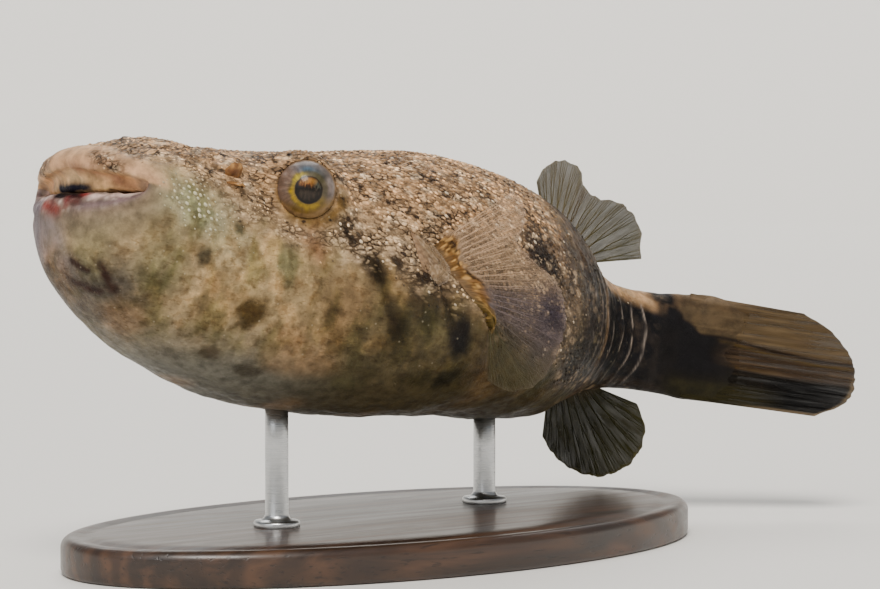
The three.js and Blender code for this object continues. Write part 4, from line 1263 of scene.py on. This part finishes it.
def fin_points(fin, across, along):
    """Places on a fin's middle sheet by share of its root line and share of the ray's length."""
    rays = np.array(fin["rays"], float)
    knots = rays[:, 0]
    i = np.clip(np.searchsorted(knots, across, side="left") - 1, 0, len(knots) - 2)
    row = blend_rows(rays, i + (across - knots[i]) / (knots[i + 1] - knots[i]))
    angle, length, aside = np.radians(row[:, 1]), row[:, 2], row[:, 3]
    start, end = np.array(fin["roots"][0]), np.array(fin["roots"][1])
    root = start + across[:, None] * (end - start)
    reach = -fin["inside"] + (length + fin["inside"]) * along
    lean = aside * np.sign(reach) * np.abs(reach / length) ** 1.3
    return root + np.stack([reach * np.cos(angle), lean, reach * np.sin(angle)], axis=1)


def sheet_place(across, along):
    """A fin spread flat: root line across, rays along."""
    return FIN_SPREAD * np.stack([across, along, 0 * across], axis=1)


def sheet_wave(count, across, along):
    """How far a fin's sheet waves to its side: from ray to ray, and over its whole length."""
    flat = sheet_place(across, along)
    wave = 0.03 * np.cos(2 * math.pi * (count - 1) * across) if count else 0.05 * wander(flat, 1.2, 33)
    return (wave * smooth(0.1, 0.5, along) + 0.16 * wander(flat, 3.4, 34) * along)[:, None]


def fin_sheet(name, fin, side, paint, material, slot_name, node, settings, steps=(150, 56)):
    """A closed thin membrane, stout at its root, scalloped between rays and painted by place."""
    across, along = (a.ravel() for a in np.meshgrid(
        np.linspace(0, 1, steps[0]), np.linspace(0, 1, steps[1]) ** 0.85, indexing="ij"))
    flat = sheet_place(across, along)
    # the free edge draws back between rays, and is a little ragged
    count, even = fin["ray_count"], fin.get("even", 1)
    draw = settings.scallop * even * (0.5 - 0.5 * np.cos(2 * math.pi * (count - 1) * across)) if count else 0
    ragged = even * (0.02 * wander(flat, 0.9, 31) + 0.012 * wander(flat, 0.35, 32))
    middle = fin_points(fin, across, along * (1 - (draw + np.abs(ragged)) * smooth(0.75, 1, along)))
    grid = middle.reshape(*steps, 3)
    normal = unit(np.cross(np.gradient(grid, axis=0), np.gradient(grid, axis=1)).reshape(-1, 3))
    middle = middle + sheet_wave(count, across, along) * normal
    edge = settings.edge_thickness / MM
    thick = edge + (fin["root_thick"] - edge) * np.exp(-(along / 0.17) ** 2) + 0.12 * (1 - along)
    thick += fin.get("flesh", 0) * np.exp(-((along - 0.17) / 0.09) ** 2) * (1 + 0.4 * wander(flat, 1.2, 48))
    thick *= 1 - 0.6 * smooth(0.97, 1.0, along)
    points = np.concatenate([middle + way * thick[:, None] / 2 * normal for way in (1, -1)])
    points[:, 1] *= side
    # two sheets, joined all round by a rim
    total = len(middle)
    faces = list(grid_faces(*steps)) + [face[::-1] for face in grid_faces(*steps, start=total)]
    index = np.arange(total).reshape(steps)
    rim = np.concatenate([index[:, 0], index[-1, 1:], index[-2::-1, -1], index[0, -2:0:-1]])
    faces += [[b, a, a + total, b + total] for a, b in zip(rim, np.roll(rim, -1))]
    colour, cover = paint(across, along, flat)
    piece = make_object(name, pose(points), faces, {
        "tint": np.tile(colour, (2, 1)), "cover": np.clip(np.tile(cover, 2), 0, 1), "sheet": np.tile(flat, (2, 1)),
        "rest": points})
    settle(piece, material, slot_name, node)


def ray_tree(sides):
    """Node tree: round rods swept along edges, as thick as the edges' attribute says."""
    tree = PieceTree("fin_rays", Thickness="Float")
    curve = tree.add("GeometryNodeMeshToCurve", Mesh=tree.given["Geometry"])
    ring = tree.add("GeometryNodeCurvePrimitiveCircle", Resolution=sides, Radius=1.0)
    sweep = tree.add("GeometryNodeCurveToMesh", Curve=curve.outputs[0], Profile_Curve=ring.outputs[0],
                     Scale=tree.product(tree.named("thick"), tree.given["Thickness"]), Fill_Caps=True)
    return tree.finish(sweep.outputs[0])


def fin_rays(name, fin, side, paint, material, slot_name, tree):
    """The fin's rays, each forking twice towards the edge."""
    edges, across_all, along_all, thick_all = [], [], [], []
    count = fin["ray_count"]
    gap = 1 / (count - 1)
    for number in range(count):
        centre = min(max(number * gap, 0.012), 0.988)
        for level, (start, end, stoutness) in enumerate(FORKS):
            for branch in range(2 ** level):
                along = np.linspace(start, end, RAY_POINTS)
                first = (1 if branch & 1 else -1) * smooth(0.38, 0.62, along) if level else 0 * along
                second = (1 if branch & 2 else -1) * smooth(0.66, 0.86, along) if level > 1 else 0 * along
                outer = 0.004 * (branch >> 1)
                across = np.clip(centre + gap * (0.17 * first + 0.09 * second), 0.004 + outer, 0.992 + outer)
                base = len(across_all)
                edges.extend((base + k, base + k + 1) for k in range(RAY_POINTS - 1))
                across_all.extend(across)
                along_all.extend(along)
                thick_all.extend((1 - 0.72 * along) * smooth(-0.05, 0.3, along) * stoutness)
    across, along = np.array(across_all), np.array(along_all)
    points = fin_points(fin, across, along)
    normal = unit(np.cross(fin_points(fin, np.clip(across + 0.01, 0, 1), along) - points,
                           fin_points(fin, across, along + 0.01) - points))
    points = points + sheet_wave(count, across, along) * normal
    points[:, 1] *= side
    mesh = bpy.data.meshes.new(name + "_lines")
    mesh.from_pydata(pose(points).tolist(), edges, [])
    flat = sheet_place(across, along)
    colour, cover = paint(across, along, flat)
    # rays painted paler by the fin's pale factor: painted light against the membrane's shade, besides their own
    # paler colour
    for key, values in (("tint", colour * fin.get("pale", 1.9) + 0.02), ("sheet", flat),
                        ("cover", np.clip(cover * 1.25 + 0.12, 0, 0.9)), ("thick", np.array(thick_all) * MM)):
        store(mesh, key, values)
    rays = run_nodes(name, mesh, tree, {"Thickness": float(fin["ray_thick"]), "Material": material})
    drop(rays.data, "thick", "UVMap")
    settle(rays, material, slot_name)


def paint_dorsal(across, along, flat):
    colour, lay = start_paint((70, 63, 45), len(across))
    lay(0.7, (128, 92, 66), (0.5, 0.0, along))
    # painted shade down the fold in the middle of the fin
    lay(0.6 * np.exp(-((across - 0.5) / 0.06) ** 2), (54, 40, 22))
    lay(0.75, (40, 38, 18), (0.5, 0.9, across))
    lay(0.4, (66, 60, 36), (0.1, 0.5, wander(flat, 2.2, 35)))
    lay(0.3, (140, 130, 112), (0.95, 1, along))
    return colour, 0.72 + 0.26 * smooth(0.35, 0.05, along) + 0.1 * smooth(0.96, 1, along)


def paint_anal(across, along, flat):
    colour, lay = start_paint((34, 32, 11), len(across))
    lay(0.5, (24, 22, 7), (0.0, 0.6, wander(flat, 2.6, 36)))
    lay(0.6 * near_stroke(flat, (3.0, 2.0, 0), (5.4, 8.5, 0), 0.35), (16, 14, 5))
    lay(0.5, (62, 46, 24), (0.25, 0.02, along))
    lay(0.4, (84, 78, 48), (0.955, 0.99, along))
    return colour, 0.9 + 0.1 * smooth(0.35, 0.05, along) + 0.1 * smooth(0.95, 1, along)


def paint_pectoral(across, along, flat):
    colour, lay = start_paint((158, 132, 106), len(across))
    lay(1, (96, 84, 82), (0.4, 0.62, across))
    lay(1, (62, 57, 36), (0.72, 0.95, across))
    lay(0.85, (40, 36, 54), (0.55, 0.95, along), (0.45, 0.6, across), (0.8, 0.65, across))
    lay(0.4 - 0.3 * smooth(0.5, 0.8, across), (170, 150, 136), (0.93, 0.99, along))
    base = smooth(0.27, 0.15, along + 0.12 * wander(flat * (1, 0.6, 1), 0.6, 37))
    lay(base, (122, 86, 44))
    lay(0.7 * base, (88, 56, 24), (0.0, 0.4, wander(flat * (1, 0.8, 1), 0.45, 38)))
    lay(0.75 * base, (206, 160, 96), (0.1, 0.5, wander(flat * (1.2, 0.7, 1), 0.35, 39)))
    lay(0.95 * base, (38, 22, 8), (0.15, 0.5, wander(flat * (1, 0.8, 1), 0.6, 49)), (0.1, 0.2, along))
    lay(0.9 * base, (108, 86, 62), (0.12, 0.03, along + 0.05 * wander(flat, 0.5, 73)))
    lay(0.7 * base, (92, 78, 38), (0.6, 0.9, across))
    cover = 0.22 + 0.12 * smooth(0.45, 0.6, across) + 0.72 * smooth(0.36, 0.2, along)
    return colour, cover + 0.1 * smooth(0.96, 1, along)


def paint_caudal(across, along, flat):
    points = fin_points(CAUDAL, across, along)
    colour, lay = start_paint(paint_tail(points), len(points))
    rim = smooth(0.965, 0.985, across) * smooth(0.4, 0.7, along)
    rim += smooth(0.965, 0.985, along) * smooth(0.5, 0.7, across)
    lay(0.6 * rim, (112, 96, 74))
    return colour, 0.98 - 0.06 * smooth(0.5, 1, along)


def paint_gill_flap(across, along, flat):
    colour, lay = start_paint((132, 108, 80), len(across))
    lay(0.75, (92, 70, 50), (-0.1, 0.5, wander(flat * (1, 0.7, 1), 1.0, 45)))
    lay(0.5, (180, 156, 128), (0.1, 0.5, wander(flat, 0.6, 51)))
    lay(0.5, (190, 170, 148), (0.85, 1, along))
    lay(0.7, (140, 108, 78), (0.4, 0.15, along))
    return colour, 0.95 - 0.7 * smooth(0.45, 0.95, along)


class BuildFins(bpy.types.Operator):
    """Back, anal, tail and breast fins: translucent membranes over forked rays"""

    bl_idname = "fish.build_fins"
    bl_label = "Build fins"

    def execute(self, context):
        settings = context.scene.fish_fins
        material, tree = fin_material(), ray_tree(settings.ray_sides)
        for node, fin, side, paint in (
                ("dorsal_fin", DORSAL, 1, paint_dorsal), ("anal_fin", ANAL, 1, paint_anal),
                ("caudal_fin", CAUDAL, 1, paint_caudal), ("pectoral_fin_left", PECTORAL, -1, paint_pectoral),
                ("pectoral_fin_right", PECTORAL, 1, paint_pectoral)):
            fin_sheet(node + "_membrane", fin, side, paint, material, "fin", node, settings)
            fin_rays(node + "_rays", fin, side, paint, material, "fin", tree)
        return {"FINISHED"}


class BuildFlaps(bpy.types.Operator):
    """Gill flaps in front of the breast fins, and the pair of small flaps at each nostril"""

    bl_idname = "fish.build_flaps"
    bl_label = "Build gill and nostril flaps"

    def execute(self, context):
        settings = context.scene.fish_fins
        flap_skin = flesh_material("gill_flap_skin", 0.34)
        nostril_skin = flesh_material("nostril_skin", 0.4)
        for side, name in ((-1, "left"), (1, "right")):
            fin_sheet("gill_membrane_" + name, GILL_FLAP, side, paint_gill_flap, flap_skin, "skin_belly",
                      "gill_flap_" + name, settings, (60, 34))
            self.nostril(side, name, nostril_skin)
        return {"FINISHED"}

    def nostril(self, side, name, material):
        """Two cupped flaps that lean apart."""
        up, turn = (a.ravel() for a in np.meshgrid(
            np.linspace(0, 1, FLAP_ROWS), np.linspace(0, 2 * math.pi, FLAP_SIDES, endpoint=False), indexing="ij"))
        outward = np.array([0.0, 10.7, 5.0]) / math.hypot(10.7, 5.0)
        ahead = np.array([1.0, 0, 0])
        aside = np.cross(outward, ahead)
        points, faces, colours = [], [], []
        for way in (-1, 1):
            width = 1.0 * np.sqrt(np.clip(np.sin(math.pi * (0.18 + 0.8 * up)), 0.02, 1)) + 0.12 * (1 - up)
            lean = way * (0.4 + 0.95 * up ** 1.3) * 0.9
            deep = (0.30 - 0.2 * up) * np.sin(turn) + way * 0.22 * np.cos(turn) ** 2 * up
            ring = (NOSTRIL_AT + (1.65 * up - 0.35)[:, None] * outward
                    + (lean + deep)[:, None] * aside + (width * np.cos(turn))[:, None] * ahead)
            ring += 0.22 * wander(ring, 0.55, 70 + way)[:, None] * (ahead + outward) * up[:, None]
            foot = ring[:FLAP_SIDES].mean(axis=0, keepdims=True)
            tip = ring[-FLAP_SIDES:].mean(axis=0, keepdims=True) + 0.05 * outward
            faces += tube_faces(FLAP_ROWS, FLAP_SIDES, start=sum(map(len, points)))
            points.append(np.concatenate([ring, foot, tip]))
            colour, lay = start_paint((124, 84, 44), len(points[-1]))
            lay(0.6, (184, 138, 82), (0.5, 1, with_ends(up)))
            lay(0.7, (84, 44, 18), (0.1, 0.6, wander(points[-1], 0.5, 72)))
            colours.append(colour)
        points = np.concatenate(points)
        points[:, 1] *= side
        piece = make_object("nostril_flaps_" + name, pose(points), faces, {
            "tint": np.concatenate(colours), "rest": points, "cover": np.ones(len(points))})
        settle(piece, material, "fin_base", "nostril_" + name)


class BuildStand(bpy.types.Operator):
    """Oval dark wood base with a rounded edge, and two satin steel rods in small collars"""

    bl_idname = "fish.build_stand"
    bl_label = "Build stand"

    def execute(self, context):
        settings = context.scene.fish_stand
        length, width, height = settings.base_length / 2, settings.base_width / 2, settings.base_thickness
        # inset and height of each ring: chamfer, side, rounded edge, shallow groove and top
        curve, groove = 0.0011, 0.00022
        profile = [(0.0006, 0.0), (0.00015, 0.00015), (0, 0.0006), (0, height - curve)]
        profile += [(curve * (1 - math.cos(a)), height - curve + curve * math.sin(a))
                    for a in np.radians(np.linspace(11.25, 90, 8))]
        profile += [(0.0016, height), (0.0023, height - groove), (0.0030, height - groove), (0.0037, height),
                    (0.006, height), (0.014, height)]
        rings = ovals([(length - inset, width - inset, z) for inset, z in profile], BASE_SIDES)
        base = make_object("wood_base", np.concatenate(rings + [[[0, 0, 0]], [[0, 0, height]]]),
                           tube_faces(len(rings), BASE_SIDES))
        settle(base, wood_material(settings.wood_dark, settings.wood_light), "stand_wood", "stand_base")
        steel = steel_material()
        for end in ("front", "rear"):
            low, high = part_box("stand_rod_" + end)
            x, y, foot = (low[0] + high[0]) / 2, (low[1] + high[1]) / 2, low[2]
            radius, top = settings.rod_radius, high[2] + 0.0004
            outline = [(2.0, foot - 0.0005), (2.0, foot + 0.0005), (1.9, foot + 0.0007), (1.35, foot + 0.0008),
                       (1.15, foot + 0.0010), (1, foot + 0.0014), (1, top - 0.004), (1, top - 0.0001), (0.9, top)]
            rings = ovals([(share * radius, share * radius, z) for share, z in outline], ROD_SIDES, (x, y))
            rod = make_object("steel_rod_" + end, np.concatenate(rings + [[[x, y, foot - 0.0005]], [[x, y, top]]]),
                              tube_faces(len(rings), ROD_SIDES))
            settle(rod, steel, "stand_steel", "stand_rod_" + end)
        return {"FINISHED"}


class BuildStage(bpy.types.Operator):
    """Pale floor and backdrop, soft lights and the camera"""

    bl_idname = "fish.build_stage"
    bl_label = "Build stage"

    def execute(self, context):
        settings = context.scene.fish_stage
        self.camera(context.scene, settings.azimuth, settings.elevation, settings.distance)
        self.floor(settings.floor)
        for name, way, softness, power, colour in LIGHTS:
            lamp = bpy.data.lights.new(name, "SUN")
            lamp.angle, lamp.energy, lamp.color = math.radians(softness), power, colour
            self.turned(add_object(name, lamp), Vector(way))
        world = bpy.data.worlds.new("studio")
        world.use_nodes = True
        background = world.node_tree.nodes["Background"].inputs
        background["Color"].default_value, background["Strength"].default_value = (0.80, 0.82, 0.84, 1), 0.38
        context.scene.world = world
        return {"FINISHED"}

    def turned(self, holder, back):
        """Turns a lamp or camera to look away from a direction."""
        holder.rotation_mode = "QUATERNION"
        holder.rotation_quaternion = back.to_track_quat("Z", "Y")

    def camera(self, scene, azimuth, elevation, distance):
        back = Vector((math.sin(azimuth) * math.cos(elevation), -math.cos(azimuth) * math.cos(elevation),
                       math.sin(elevation)))
        right = Vector((math.cos(azimuth), math.sin(azimuth), 0))
        data = bpy.data.cameras.new("camera")
        data.sensor_width, data.lens = 36.0, LENS
        data.clip_start, data.clip_end = 0.01, 20.0
        scene.camera = add_object("camera", data)
        aim = Vector((0, 0, PIVOT_HEIGHT * MM)) + right * AIM_RIGHT - back.cross(right) * AIM_DOWN
        scene.camera.location = aim + back * distance
        self.turned(scene.camera, back)

    def floor(self, ink):
        """A round floor whose edge curves up into a backdrop."""
        rim = [(0.02, 0), (0.3, 0), (0.8, 0), (1.4, 0)]
        rim += [(1.4 + 0.6 * math.sin(a), 0.6 * (1 - math.cos(a))) for a in np.radians(np.linspace(5, 88, 18))]
        points = np.concatenate(ovals([(r, r, z) for r, z in rim], FLOOR_SIDES) + [[[0, 0, 0]]])
        faces = list(grid_faces(len(rim), FLOOR_SIDES, True))
        faces += [[FLOOR_SIDES * len(rim), (j + 1) % FLOOR_SIDES, j] for j in range(FLOOR_SIDES)]
        floor = make_object("floor", points, [face[::-1] for face in faces], outward=False)
        shader = Shader("pale_floor", Roughness=0.75)
        cloud = shader.ease(shader.noise(shader.object_place(), 3.0, 3.0), 0.3, 0.7, 0.0, 0.12)
        floor.data.materials.append(shader.done(Base_Color=shader.over(ink, linear(226, 224, 220), cloud)))


class FishPanel(bpy.types.Panel):
    """Steps that build the pufferfish model"""

    bl_idname = "VIEW3D_PT_fish"
    bl_label = "Pufferfish"
    bl_space_type = "VIEW_3D"
    bl_region_type = "UI"
    bl_category = "Fish"

    def draw(self, context):
        for operator in OPERATORS:
            self.layout.operator(operator.bl_idname)
        for group in GROUPS:
            box = self.layout.box()
            box.label(text=group.replace("_", " "))
            settings = getattr(context.scene, group)
            for key in type(settings).__annotations__:
                box.prop(settings, key)


OPERATORS = (BuildSkin, BuildCoat, BuildEyes, BuildFins, BuildFlaps, BuildStand, BuildStage)
GROUPS = {"fish_skin": FishSkinSettings, "fish_fins": FishFinSettings, "fish_stand": FishStandSettings,
          "fish_stage": FishStageSettings}


def register():
    for kind in (*GROUPS.values(), *OPERATORS, FishPanel):
        bpy.utils.register_class(kind)
    for name, kind in GROUPS.items():
        setattr(bpy.types.Scene, name, PointerProperty(type=kind))


def unregister():
    for name in GROUPS:
        delattr(bpy.types.Scene, name)
    for kind in reversed((*GROUPS.values(), *OPERATORS, FishPanel)):
        bpy.utils.unregister_class(kind)


def main():
    register()
    for step in OPERATORS:
        group, name = step.bl_idname.split(".")
        getattr(getattr(bpy.ops, group), name)()


if __name__ == "__main__":
    main()
